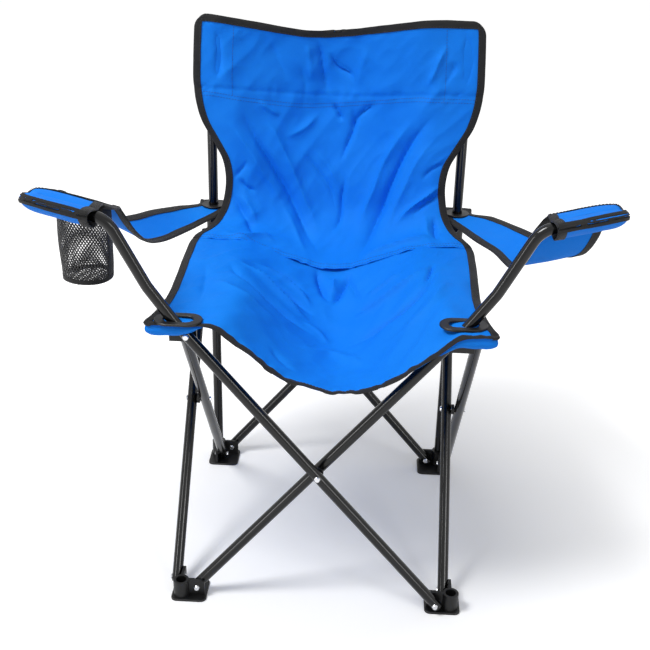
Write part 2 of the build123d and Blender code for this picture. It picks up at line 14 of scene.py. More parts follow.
import bmesh
import bpy
import numpy as np
from mathutils import Matrix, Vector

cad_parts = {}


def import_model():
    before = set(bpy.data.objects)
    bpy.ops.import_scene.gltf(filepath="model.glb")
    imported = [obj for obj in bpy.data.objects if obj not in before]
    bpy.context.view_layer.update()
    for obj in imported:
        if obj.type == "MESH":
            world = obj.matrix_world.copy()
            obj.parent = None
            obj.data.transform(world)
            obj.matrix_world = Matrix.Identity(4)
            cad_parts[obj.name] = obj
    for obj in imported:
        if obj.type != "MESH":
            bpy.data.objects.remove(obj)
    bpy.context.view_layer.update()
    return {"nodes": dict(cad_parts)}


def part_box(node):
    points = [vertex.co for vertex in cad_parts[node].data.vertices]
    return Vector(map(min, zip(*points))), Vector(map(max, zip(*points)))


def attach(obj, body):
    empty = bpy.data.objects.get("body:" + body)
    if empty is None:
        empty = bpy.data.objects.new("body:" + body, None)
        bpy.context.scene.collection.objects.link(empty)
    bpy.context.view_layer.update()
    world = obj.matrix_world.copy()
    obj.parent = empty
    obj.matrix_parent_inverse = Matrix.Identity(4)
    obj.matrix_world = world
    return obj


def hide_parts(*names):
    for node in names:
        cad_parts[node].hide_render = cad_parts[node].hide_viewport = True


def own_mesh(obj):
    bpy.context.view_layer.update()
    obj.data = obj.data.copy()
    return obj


LOG = logging.getLogger("camp_chair")
Array = np.ndarray
Point = tuple[float, float, float]
Pair = tuple[float, float]
Station = tuple[float, float, float, float, float]
MM = 0.001
UP = np.array([0.0, 0.0, 1.0])
# the frame is centred on its box: heights and widths are as drawn, and depths move by this much
SHIFT_Y = 0.00775
CLOTH = 0.0012
# lines of the binding tape by their distance from the edge, on the sheets and on the sleeves
TAPE_GAPS = (0.0, 0.0034, 0.0068, 0.0102)
SLEEVE_GAPS = (0.0, 0.0025, 0.005, 0.0072)
# height of the tape's face over the cloth's middle, and the tape's width before it is folded
TAPE_LIFT = 0.0017
TAPE_WIDTH = 0.022
# rumples in the tape: their pitch along it, their slip from line to line, their share of its height
RUMPLE_PITCH = 0.021
RUMPLE_SLIP = 0.7
RUMPLE_SHARE = 0.22
# how far the tape's nose stands out from the edge, as a share of its height
NOSE = 1.1
# the row of stitches that holds the tape: its distance from the edge and its height on the cloth
SEWN_GAP = 0.0086
SEWN_LIFT = 0.75 * TAPE_LIFT
# angles past which an edge is drawn sharp
SHEET_CORNER = math.radians(50)
STRIP_CORNER = math.radians(60)
# side of the square of seeded values that all bumps are read from
LATTICE = 64
# steps in shares for the normals of a sheet without its folds and with them
BARE_STEP = 1e-3
FOLD_STEP = 2e-3


class Side(Enum):
    """The chair's two sides, as seen from the front."""

    LEFT = -1
    RIGHT = 1

    @property
    def word(self) -> str:
        """The side's name as the nodes have it."""
        return self.name.lower()


class Lay(Enum):
    """How a strip of points is closed into a mesh."""

    OPEN = "open"
    CLOSED = "closed"


# Numbers


def row_frame(points: Any) -> Array:
    """Turns drawing points in millimetres into the row frame in metres.

    Args:
        points: Any array whose last axis is x, y, z in millimetres.
    Returns:
        The same points in metres, moved by the frame's shift in depth.
    """
    out = np.asarray(points, float) * MM
    out[..., 1] += SHIFT_Y
    return out


def through(knots: Any, values: Any, at: Array) -> Array:
    """A smooth curve through given values.

    Between two knots it is the cubic whose slopes at the knots are the mean slopes there.

    Args:
        knots: Rising parameter values, n of them.
        values: n values or n rows of values.
        at: Where the curve is wanted.
    Returns:
        The curve's values at those places.
    """
    k, v = np.asarray(knots, float), np.asarray(values, float)
    flat = v.reshape(len(k), -1)
    slope = np.gradient(flat, k, axis=0)
    t = np.clip(np.asarray(at, float), k[0], k[-1])
    i = np.clip(np.searchsorted(k, t, side="right") - 1, 0, len(k) - 2)
    h = (k[i + 1] - k[i])[..., None]
    q = ((t - k[i]) / (k[i + 1] - k[i]))[..., None]
    out = ((2 * q**3 - 3 * q**2 + 1) * flat[i] + (q**3 - 2 * q**2 + q) * h * slope[i]
           + (3 * q**2 - 2 * q**3) * flat[i + 1] + (q**3 - q**2) * h * slope[i + 1])
    return out.reshape(t.shape + v.shape[1:])


def evenly(values: Any, at: Array) -> Array:
    """A smooth curve through values that are spaced evenly from 0 to 1."""
    return through(np.linspace(0, 1, len(values)), values, at)


def running_length(points: Array) -> Array:
    """Length along a polyline from its start to each of its points."""
    return np.concatenate([[0.0], np.cumsum(np.linalg.norm(np.diff(points, axis=0), axis=1))])


def chord_knots(points: Array) -> Array:
    """Running length along a polyline, from 0 to 1."""
    run = running_length(points)
    return run / run[-1]


def read_along(at: Array, run: Array, rows: Array) -> Array:
    """Points or directions along a line, read at given running lengths."""
    return np.stack([np.interp(at, run, rows[:, k]) for k in range(3)], -1)


def smooth_step(low: float, high: float, value: Array) -> Array:
    """0 below low, 1 above high, and an even rise between them."""
    q = np.clip((value - low) / (high - low), 0, 1)
    return q * q * (3 - 2 * q)


def signed_power(value: Array, power: float) -> Array:
    """A value's size raised to a power, with its sign kept."""
    return np.sign(value) * np.abs(value) ** power


def lattice_noise(u: Array, v: Array, seed: int) -> Array:
    """Even bumps from -1 to 1, one per unit: seeded lattice values, blended between corners.

    Args:
        u: First coordinate.
        v: Second coordinate.
        seed: Seed of the lattice.
    Returns:
        The bumps' height at each place.
    """
    table = np.random.default_rng(seed).uniform(-1, 1, (LATTICE, LATTICE))
    iu, iv = np.floor(u).astype(int), np.floor(v).astype(int)
    fu, fv = (f * f * (3 - 2 * f) for f in (u - iu, v - iv))
    i, j, k, m = (n % LATTICE for n in (iu, iv, iu + 1, iv + 1))
    near = table[i, j] * (1 - fu) + table[k, j] * fu
    far = table[i, m] * (1 - fu) + table[k, m] * fu
    return near * (1 - fv) + far * fv


def unit(vectors: Array) -> Array:
    """The vectors at length 1."""
    return vectors / np.maximum(np.linalg.norm(vectors, axis=-1, keepdims=True), 1e-12)


def grid_normals(points: Array) -> Array:
    """Normals of a grid: the cross product of the steps along its columns and its rows."""
    return unit(np.cross(np.gradient(points, axis=1), np.gradient(points, axis=0)))


def facing(normals: Array, front: Any) -> Array:
    """Turns each normal to the side that a direction points to."""
    return normals * np.where(normals @ np.array(front) < 0, -1.0, 1.0)[..., None]


# Meshes


def put_mesh(name: str, points: Array, faces: Array, uv: Array | None = None) -> bpy.types.Object:
    """Puts arrays into a smooth-shaded mesh object at the origin.

    Args:
        name: Name of the piece.
        points: Vertices, n rows of x, y, z.
        faces: Quads, m rows of four vertex numbers.
        uv: One row of u, v per vertex, in metres of cloth.
    Returns:
        The new object.
    """
    mesh = bpy.data.meshes.new(name)
    mesh.from_pydata(points.reshape(-1, 3), [], faces.reshape(-1, faces.shape[-1]).tolist())
    mesh.polygons.foreach_set("use_smooth", np.ones(len(mesh.polygons), bool))
    if uv is not None:
        loops = np.empty(len(mesh.loops), np.int32)
        mesh.loops.foreach_get("vertex_index", loops)
        layer = mesh.uv_layers.new(name="cloth")
        layer.data.foreach_set("uv", uv.reshape(-1, 2)[loops].astype(np.float32).ravel())
    mesh.validate()
    mesh.update()
    thing = bpy.data.objects.new(name, mesh)
    bpy.context.scene.collection.objects.link(thing)
    return thing


def quads(rows: int, columns: int, around: Lay = Lay.OPEN) -> Array:
    """Quads of a grid of vertices numbered row by row.

    Args:
        rows: Rows of vertices.
        columns: Vertices in a row.
        around: Whether the last column joins the first.
    Returns:
        The quads' vertex numbers.
    """
    wide = columns if around is Lay.CLOSED else columns - 1
    i, j = np.meshgrid(np.arange(rows - 1), np.arange(wide), indexing="ij")
    k, here, above = (j + 1) % columns, i * columns, (i + 1) * columns
    return np.stack([here + j, here + k, above + k, above + j], -1).reshape(-1, 4)


def copies(faces: Array, count: int, each: int) -> Array:
    """The same quads for each of many copies of a shape, which has the given number of points."""
    return (np.arange(count)[:, None, None] * each + faces[None]).reshape(-1, 4)


def cloth_uv(points: Array) -> Array:
    """Cloth coordinates of a grid: mean running length across and along it, in metres.

    Args:
        points: Grid of points.
    Returns:
        A grid of u, v.
    """
    across = np.linalg.norm(np.diff(points, axis=1), axis=2).mean(0)
    along = np.linalg.norm(np.diff(points, axis=0), axis=2).mean(1)
    u, v = (np.concatenate([[0.0], np.cumsum(steps)]) for steps in (across, along))
    return np.stack(np.broadcast_arrays(u[None, :], v[:, None]), -1)


def sheet_mesh(name: str, points: Array, normals: Array, thick: float = CLOTH) -> bpy.types.Object:
    """A closed sheet: the grid's face, the same face moved back by its thickness, and a rim.

    Args:
        name: Name of the piece.
        points: Grid of the front face.
        normals: Its normals, which point out of the front.
        thick: Thickness of the cloth.
    Returns:
        The sheet.
    """
    rows, columns = points.shape[:2]
    count = rows * columns
    front = quads(rows, columns)
    border = np.concatenate([np.arange(columns), np.arange(1, rows) * columns + columns - 1,
                             (rows - 1) * columns + np.arange(columns - 2, -1, -1),
                             np.arange(rows - 2, 0, -1) * columns])
    after = np.roll(border, -1)
    rim = np.stack([border, border + count, after + count, after], -1)
    flipped = front[:, ::-1] + count
    step = np.cross(points[1, 0] - points[0, 0], points[0, 1] - points[0, 0])
    if step @ normals[0, 0] > 0:
        front, rim, flipped = front[:, ::-1], rim[:, ::-1], flipped[:, ::-1]
    both = np.concatenate([points.reshape(-1, 3), (points - normals * thick).reshape(-1, 3)])
    uv = np.concatenate([cloth_uv(points).reshape(-1, 2)] * 2)
    made = put_mesh(name, both, np.concatenate([front, flipped, rim]), uv)
    made.data.set_sharp_from_angle(angle=SHEET_CORNER)
    return made


def turned_out(thing: bpy.types.Object, change: Callable[[Any], Any]) -> bpy.types.Object:
    """Changes a mesh, turns its faces outwards and shades it smooth.

    Args:
        thing: The piece.
        change: What is done to its bmesh first.
    Returns:
        The piece.
    """
    work = bmesh.new()
    work.from_mesh(thing.data)
    change(work)
    bmesh.ops.recalc_face_normals(work, faces=work.faces)
    work.to_mesh(thing.data)
    work.free()
    thing.data.polygons.foreach_set("use_smooth", np.ones(len(thing.data.polygons), bool))
    return thing


def tube_mesh(name: str, rings: Array, uv: Array | None = None) -> bpy.types.Object:
    """A closed-section strip: one ring of points per station, with its two ends filled.

    Args:
        name: Name of the piece.
        rings: Stations by points round the section by x, y, z.
        uv: Cloth coordinates of the points.
    Returns:
        The strip.
    """
    made = put_mesh(name, rings, quads(*rings.shape[:2], around=Lay.CLOSED), uv)
    turned_out(made, lambda work: bmesh.ops.holes_fill(
        work, edges=[e for e in work.edges if e.is_boundary], sides=0))
    made.data.set_sharp_from_angle(angle=STRIP_CORNER)
    return made


def weld(thing: bpy.types.Object, gap: float = 2e-5) -> bpy.types.Object:
    """Merges a mesh's doubled points and turns its faces outwards."""
    return turned_out(
        thing, lambda work: bmesh.ops.remove_doubles(work, verts=work.verts, dist=gap))


def joined(name: str, things: Sequence[bpy.types.Object]) -> bpy.types.Object:
    """Joins meshes into one piece.

    Args:
        name: Name of the piece.
        things: The meshes.
    Returns:
        The piece.
    """
    with bpy.context.temp_override(active_object=things[0], selected_editable_objects=list(things)):
        bpy.ops.object.join()
    things[0].name = name
    things[0].data.name = name
    return things[0]


def tape_mesh(name: str, lines: Array, normals: Array, lift: float, seed: int,
              under: tuple[Array, Array] | None = None) -> bpy.types.Object:
    """Binding tape folded over an edge.

    The section goes along the front from its inner edge to the cloth's edge, round a nose and back
    along the rear, each side lifted off the cloth, and closes through the cloth. Slow seeded bumps
    make it rumple as sewn tape does.

    Args:
        name: Name of the piece.
        lines: Lines by stations by x, y, z: the first line on the edge, the others further in.
        normals: The cloth's normals there.
        lift: Height of the tape's face over the cloth's middle.
        seed: Seed of the bumps.
        under: Lines and normals of a second sheet that meets the first, if the tape holds two.
    Returns:
        The tape.
    """
    run = running_length(lines[0])
    slip = np.arange(len(lines))[:, None] * RUMPLE_SLIP
    bump = lattice_noise(run[None] / RUMPLE_PITCH, slip + 0.0 * run[None], seed)
    height = (lift * (1 + RUMPLE_SHARE * bump))[..., None]
    middle = lines - normals * CLOTH / 2
    front, rear = middle + normals * height, middle - normals * height
    out = unit(lines[0] - lines[1])
    if under is not None:
        out = unit(out + unit(under[0][0] - under[0][1]))
        rear = under[0] + under[1] * height
    nose = middle[0] + out * lift * NOSE
    ring = np.concatenate([front[::-1], nose[None], rear])
    share = np.linspace(0, 1, len(ring))
    uv = np.stack(np.broadcast_arrays(share[None, :] * TAPE_WIDTH, run[:, None]), -1)
    return tube_mesh(name, ring.transpose(1, 0, 2), uv)


@dataclass(frozen=True)
class Thread:
    """Sewing thread, drawn about twice as thick as the real 0.3 mm so that the rows show.

    A stitch is a flattened spindle. steps are its rings as shares of its half length, and fat is
    the share of its thickness at each.
    """

    pitch: float = 0.0046
    length: float = 0.0034
    half_width: float = 0.00042
    half_height: float = 0.00034
    steps: tuple[float, ...] = (-1.0, -0.7, 0.0, 0.7, 1.0)
    fat: tuple[float, ...] = (0.15, 0.8, 1.0, 0.8, 0.15)
    sides: int = 5

    def row(self, name: str, line: Array, normals: Array) -> bpy.types.Object:
        """Stitches along a line: one spindle per pitch, lying on the cloth.

        Args:
            name: Name of the piece.
            line: Points along the row.
            normals: The cloth's normals there.
        Returns:
            The row as one mesh.
        """
        run, probe = running_length(line), 1e-4
        at = np.arange(self.pitch / 2, run[-1], self.pitch)
        centre, up = read_along(at, run, line), unit(read_along(at, run, normals))
        along = unit(read_along(at + probe, run, line) - read_along(at - probe, run, line))
        across = np.cross(up, along)
        steps, fat = np.array(self.steps), np.array(self.fat)[:, None]
        turn = np.linspace(0, 2 * math.pi, self.sides, endpoint=False)
        wide, high = fat * np.cos(turn) * self.half_width, fat * np.sin(turn) * self.half_height
        ring = (centre[:, None, None]
                + along[:, None, None] * (steps * self.length / 2)[None, :, None, None]
                + across[:, None, None] * wide[None, :, :, None]
                + up[:, None, None] * high[None, :, :, None])
        faces = quads(len(steps), self.sides, Lay.CLOSED)
        return put_mesh(name, ring, copies(faces, len(at), len(steps) * self.sides))


# Finishes


def linear(code: str) -> tuple[float, float, float, float]:
    """Turns an sRGB hex colour into the linear one that shaders take.

    Args:
        code: The colour, as #RRGGBB.
    Returns:
        Linear red, green and blue, and 1 for alpha.
    """
    parts = np.array([int(code[i:i + 2], 16) for i in (1, 3, 5)]) / 255
    out = np.where(parts <= 0.04045, parts / 12.92, ((parts + 0.055) / 1.055) ** 2.4)
    return (*(float(x) for x in out), 1.0)


def scaled(code: str, share: float) -> tuple[float, float, float, float]:
    """An sRGB hex colour as linear light, times a share."""
    return (*(share * c for c in linear(code)[:3]), 1.0)


def add_node(tree: bpy.types.NodeTree, kind: str, inputs: dict[Any, Any] | None = None,
             **settings: Any) -> bpy.types.Node:
    """Adds a node with its settings, values and links.

    Args:
        tree: The material's node tree.
        kind: Blender's name of the node's type.
        inputs: Values or output sockets by input name or number.
        **settings: Properties of the node itself.
    Returns:
        The new node.
    """
    node = tree.nodes.new(kind)
    for name, value in settings.items():
        setattr(node, name, value)
    for key, value in (inputs or {}).items():
        if isinstance(value, bpy.types.NodeSocket):
            tree.links.new(value, node.inputs[key])
        else:
            node.inputs[key].default_value = value
    return node


@dataclass(frozen=True)
class Finish:
    """A finish: the real material's name, the record's slot and the shader's plain values."""

    name: str
    slot: str
    colour: str
    roughness: float
    metallic: float = 0.0
    ior: float = 1.5
    sheen: float = 0.0
    sheen_roughness: float = 0.45

    def start(self) -> tuple[bpy.types.Material, bpy.types.NodeTree, bpy.types.Node]:
        """Makes the material with its shader's plain values set.

        Returns:
            The material, its node tree and its shader node.
        """
        made = bpy.data.materials.new(self.name)
        made.use_nodes = True
        shader = made.node_tree.nodes["Principled BSDF"]
        plain = {"Base Color": linear(self.colour), "Roughness": self.roughness,
                 "Metallic": self.metallic, "IOR": self.ior, "Sheen Weight": self.sheen,
                 "Sheen Roughness": self.sheen_roughness}
        for socket, value in plain.items():
            shader.inputs[socket].default_value = value
        return made, made.node_tree, shader

    def paint(self) -> bpy.types.Material:
        """Makes the material. Each kind of finish adds its own pattern."""
        return self.start()[0]


@dataclass(frozen=True)
class WovenCloth(Finish):
    """Plain weave: threads that pass over and under each other, on the cloth's own coordinates.

    thread is their spacing, slub the size of thick places in them and patch that of faded places.
    The weave's low places, where the threads pass under, are darkened towards shade times the
    colour:
    painted shade.
    """

    thread: float = 0.0011
    slub: float = 0.002381
    patch: float = 0.11111
    relief: float = 0.00012
    fade: str = "#2190F2"
    fade_share: float = 0.28
    shade: float = 0.8
    shade_share: float = 0.32
    gloss_change: Pair = (-0.07, 0.09)

    def paint(self) -> bpy.types.Material:
        """Makes the weave from a product of two waves, with painted shade where it is low, slow
        fading and fine slubs.

        Returns:
            The material.
        """
        made, tree, shader = self.start()
        cloth = add_node(tree, "ShaderNodeUVMap", uv_map="cloth").outputs["UV"]
        # threads of real polyester are about 0.3 mm; they are drawn at 1.1 mm so that they show
        size = math.pi / self.thread
        parts = add_node(tree, "ShaderNodeSeparateXYZ", {0: cloth})
        waves = []
        for axis in ("X", "Y"):
            angle = add_node(tree, "ShaderNodeMath", {0: parts.outputs[axis], 1: size},
                             operation="MULTIPLY")
            waves.append(add_node(tree, "ShaderNodeMath", {0: angle.outputs[0]}, operation="SINE"))
        weave = add_node(tree, "ShaderNodeMath", dict(enumerate(w.outputs[0] for w in waves)),
                         operation="MULTIPLY").outputs[0]
        slub = add_node(tree, "ShaderNodeTexNoise",
                        {"Vector": cloth, "Scale": 1 / self.slub, "Detail": 3.0})
        fading = add_node(tree, "ShaderNodeTexNoise", {"Vector": cloth, "Scale": 1 / self.patch,
                                                       "Detail": 4.0, "Roughness": 0.6})
        faded = add_node(tree, "ShaderNodeMapRange",
                         {0: fading.outputs[0], 1: 0.35, 2: 0.75, 3: 0.0, 4: self.fade_share})
        tint = add_node(tree, "ShaderNodeMix", {0: faded.outputs[0], 6: linear(self.colour),
                                                7: linear(self.fade)}, data_type="RGBA")
        # painted shade: where the weave is low and the threads pass under, the colour is mixed
        # towards a darker shade of itself
        under = add_node(tree, "ShaderNodeMapRange",
                         {0: weave, 1: -1.0, 2: 1.0, 3: self.shade_share, 4: 0.0})
        colour = add_node(tree, "ShaderNodeMix", {0: under.outputs[0], 6: tint.outputs[2],
                                                  7: scaled(self.colour, self.shade)},
                          data_type="RGBA")
        tree.links.new(colour.outputs[2], shader.inputs["Base Color"])
        low, high = (self.roughness + change for change in self.gloss_change)
        rough = add_node(tree, "ShaderNodeMapRange",
                         {0: slub.outputs[0], 1: 0.2, 2: 0.8, 3: low, 4: high})
        tree.links.new(rough.outputs[0], shader.inputs["Roughness"])
        height = add_node(tree, "ShaderNodeMath", {0: slub.outputs[0], 1: 0.6, 2: weave},
                          operation="MULTIPLY_ADD")
        bump = add_node(tree, "ShaderNodeBump", {"Strength": 0.5, "Distance": self.relief,
                                                 "Height": height.outputs[0]})
        tree.links.new(bump.outputs[0], shader.inputs["Normal"])
        return made


@dataclass(frozen=True)
class RibbedTape(Finish):
    """Woven tape: fine ribs across its run, on the tape's own coordinates.

    rib is their spacing, and dust the size of the dusty places.
    """

    rib: float = 0.0013
    dust: float = 0.016667
    dust_share: float = 0.5
    pale: float = 2.2
    relief: float = 0.0002

    def paint(self) -> bpy.types.Material:
        """Makes the ribs from one wave along the tape, with dusty wear.

        Returns:
            The material.
        """
        made, tree, shader = self.start()
        cloth = add_node(tree, "ShaderNodeUVMap", uv_map="cloth").outputs["UV"]
        # ribs of real tape are about 0.6 mm apart; they are drawn wider so that they show
        parts = add_node(tree, "ShaderNodeSeparateXYZ", {0: cloth})
        angle = add_node(tree, "ShaderNodeMath", {0: parts.outputs["Y"], 1: 2 * math.pi / self.rib},
                         operation="MULTIPLY")
        rib = add_node(tree, "ShaderNodeMath", {0: angle.outputs[0]}, operation="SINE")
        dust = add_node(tree, "ShaderNodeTexNoise",
                        {"Vector": cloth, "Scale": 1 / self.dust, "Detail": 4.0})
        dusty = add_node(tree, "ShaderNodeMapRange",
                         {0: dust.outputs[0], 1: 0.4, 2: 0.8, 3: 0.0, 4: self.dust_share})
        colour = add_node(tree, "ShaderNodeMix", {0: dusty.outputs[0], 6: linear(self.colour),
                                                  7: scaled(self.colour, self.pale)},
                          data_type="RGBA")
        tree.links.new(colour.outputs[2], shader.inputs["Base Color"])
        bump = add_node(tree, "ShaderNodeBump", {"Strength": 0.6, "Distance": self.relief,
                                                 "Height": rib.outputs[0]})
        tree.links.new(bump.outputs[0], shader.inputs["Normal"])
        return made


@dataclass(frozen=True)
class Grained(Finish):
    """A fine grain and a slow change of gloss: powder coat, moulding, plating or thread.

    grain is the grain's size and patch that of the worn places.
    """

    grain: float = 0.0012
    relief: float = 0.00003
    gloss_change: float = 0.08
    worn: str = "#2A2A2C"
    wear: float = 0.25
    patch: float = 0.035714

    def paint(self) -> bpy.types.Material:
        """Makes the grain from noise on object coordinates, and slow patches of wear.

        Returns:
            The material.
        """
        made, tree, shader = self.start()
        place = add_node(tree, "ShaderNodeTexCoord").outputs["Object"]
        # a real grain is a few tenths of a millimetre; it is drawn at about 1 mm so that it shows
        grain = add_node(tree, "ShaderNodeTexNoise",
                         {"Vector": place, "Scale": 1 / self.grain, "Detail": 2.0})
        slow = add_node(tree, "ShaderNodeTexNoise", {"Vector": place, "Scale": 1 / self.patch,
                                                     "Detail": 5.0, "Roughness": 0.65})
        rough = add_node(tree, "ShaderNodeMapRange", {0: slow.outputs[0], 1: 0.3, 2: 0.7,
                                                      3: self.roughness - self.gloss_change,
                                                      4: self.roughness + self.gloss_change})
        tree.links.new(rough.outputs[0], shader.inputs["Roughness"])
        share = add_node(tree, "ShaderNodeMapRange",
                         {0: slow.outputs[0], 1: 0.55, 2: 0.8, 3: 0.0, 4: self.wear})
        colour = add_node(tree, "ShaderNodeMix", {0: share.outputs[0], 6: linear(self.colour),
                                                  7: linear(self.worn)}, data_type="RGBA")
        tree.links.new(colour.outputs[2], shader.inputs["Base Color"])
        bump = add_node(tree, "ShaderNodeBump", {"Strength": 0.4, "Distance": self.relief,
                                                 "Height": grain.outputs[0]})
        tree.links.new(bump.outputs[0], shader.inputs["Normal"])
        return made


# plain-woven polyester: an even strong blue, matt, a little paler where it has faded
POLYESTER = WovenCloth("woven_polyester", "blue_fabric", "#0879E4", 0.7, ior=1.22)
# polypropylene binding tape: matt black, a little dusty
BINDING = RibbedTape("polypropylene_tape", "black_webbing", "#0D0D0E", 0.74, ior=1.35, sheen=0.06)
# nylon webbing: as the tape, with coarser ribs
WEBBING = RibbedTape("nylon_webbing", "black_webbing", "#151517", 0.66, sheen=0.2, rib=0.0022)
# polyester thread in the cloth's own blue, a shade darker
THREAD_BLUE = Grained("polyester_thread_blue", "blue_fabric", "#084E9E", 0.6, grain=0.0009,
                      worn="#2C8CEA")
# polyester thread on the black tape
THREAD_BLACK = Grained("polyester_thread_black", "black_webbing", "#1D1D20", 0.6, grain=0.0009)
# steel tube with black powder coat: glossy, with a faint orange peel
POWDER_COAT = Grained("powder_coated_steel", "black_tube", "#070708", 0.16, ior=1.4, grain=0.0018,
                      relief=0.00002, worn="#17171A")
# moulded polypropylene: satin black with a fine spark-eroded grain
MOULDED = Grained("moulded_polypropylene", "black_plastic", "#0C0C0D", 0.44, ior=1.4,
                  grain=0.0008, relief=0.00004, worn="#242427")
# zinc-plated steel: bright, a little uneven
PLATED = Grained("zinc_plated_steel", "rivet_steel", "#D2D3D6", 0.26, metallic=1.0,
                 relief=0.00002, worn="#A9AAAE")
# knitted polyester mesh: fine black strands
MESH_YARN = Grained("knitted_polyester_mesh", "black_mesh", "#141416", 0.6, sheen=0.15,
                    grain=0.0007)


class Wardrobe:
    """Makes each finish once and puts it on pieces."""

    def __init__(self) -> None:
        """Starts with no material made."""
        self.made: dict[str, bpy.types.Material] = {}

    def dress(self, thing: bpy.types.Object, finish: Finish) -> None:
        """Puts a finish on a piece as its only material.

        Args:
            thing: The piece.
            finish: Its finish.
        """
        if finish.name not in self.made:
            self.made[finish.name] = finish.paint()
        mesh = thing.data
        mesh.materials.clear()
        mesh.materials.append(self.made[finish.name])
        mesh.polygons.foreach_set("material_index", np.zeros(len(mesh.polygons), np.int32))


# Cloth


@dataclass(frozen=True)
class Crease:
    """A fold in a sheet, along a smooth line in the sheet's own shares across and along.

    line holds the points it passes, height is its rise in metres (less than zero for a valley),
    width is the half width at which it has died away by two thirds, sharp the power at which it
    does so, and taper the share of its length over which each end thins out.
    """

    line: tuple[Pair, ...]
    height: float
    width: float
    sharp: float = 1.2
    taper: float = 0.36
    steps: int = 22

    def rise(self, u: Array, v: Array, size: Pair) -> Array:
        """Height of the fold: a bell across its line that thins out towards both ends.

        Args:
            u: Shares across, from -1 to 1.
            v: Shares along, from 0 to 1.
            size: The sheet's half width and length in metres.
        Returns:
            The height at each place.
        """
        knots = np.asarray(self.line, float) * np.array(size)
        path = through(chord_knots(knots), knots, np.linspace(0, 1, self.steps))
        here = np.stack([u * size[0], v * size[1]], -1)
        step = path[1:] - path[:-1]
        rel = here[..., None, :] - path[:-1]
        q = np.clip((rel * step).sum(-1) / (step * step).sum(-1), 0, 1)
        away = np.linalg.norm(rel - q[..., None] * step, axis=-1)
        best = away.argmin(-1)[..., None]
        gap = np.take_along_axis(away, best, -1)[..., 0]
        along = (best + np.take_along_axis(q, best, -1))[..., 0] / len(step)
        thin = smooth_step(0, self.taper, along) * smooth_step(0, self.taper, 1 - along)
        return self.height * thin * np.exp(-((gap / self.width) ** self.sharp))


@dataclass(frozen=True)
class Bumps:
    """Seeded bumps of several sizes, longer along the sheet than across it by their stretch.

    Each size has its span in metres, its share of the height and its step from the sheet's seed.
    """

    sizes: tuple[tuple[float, float, int], ...]
    stretch: float
    shift: float = 0.0

    def layers(self, across: Array, along: Array, seed: int) -> Iterator[tuple[float, Array]]:
        """The bumps of each size.

        Args:
            across: Distances across, in metres.
            along: Distances along.
            seed: The sheet's seed.
        Returns:
            Each size's share of the height and its bumps from -1 to 1.
        """
        for span, share, step in self.sizes:
            a, b = self.shift + across / span, self.shift + along / (self.stretch * span)
            yield share, lattice_noise(a, b, seed + step)


RIPPLE = Bumps(((0.055, 1.0, 0), (0.024, 0.4, 7), (0.012, 0.16, 9)), 1.6)
CRUMPLE = Bumps(((0.05, 0.6, 40), (0.03, 0.36, 41), (0.017, 0.16, 42)), 1.9, 20.0)


@dataclass(frozen=True)
class SewnGroove:
    """What a sewn row does to cloth: a shallow groove, and short puckers across it.

    depth and width are the groove's, pucker is the puckers' height, pitch their spacing, reach how
    far they go from the row, slip the distance over which they change, and seed their seed's step.
    """

    depth: float = 0.0011
    width: float = 0.0042
    pucker: float = 0.0013
    pitch: float = 0.0075
    reach: float = 0.011
    slip: float = 0.03
    seed: int = 31

    def rise(self, across: Array, away: Array, row: int, seed: int) -> Array:
        """Height that the row gives the cloth: two bells across it, one with bumps along it.

        Args:
            across: Distances along the row, in metres.
            away: Distances from the row.
            row: Number of the row on its sheet.
            seed: The sheet's seed.
        Returns:
            The height at each place.
        """
        bumps = lattice_noise(across / self.pitch, row + away / self.slip, seed + self.seed)
        return (self.pucker * bumps * np.exp(-((away / self.reach) ** 2))
                - self.depth * np.exp(-((away / self.width) ** 2)))


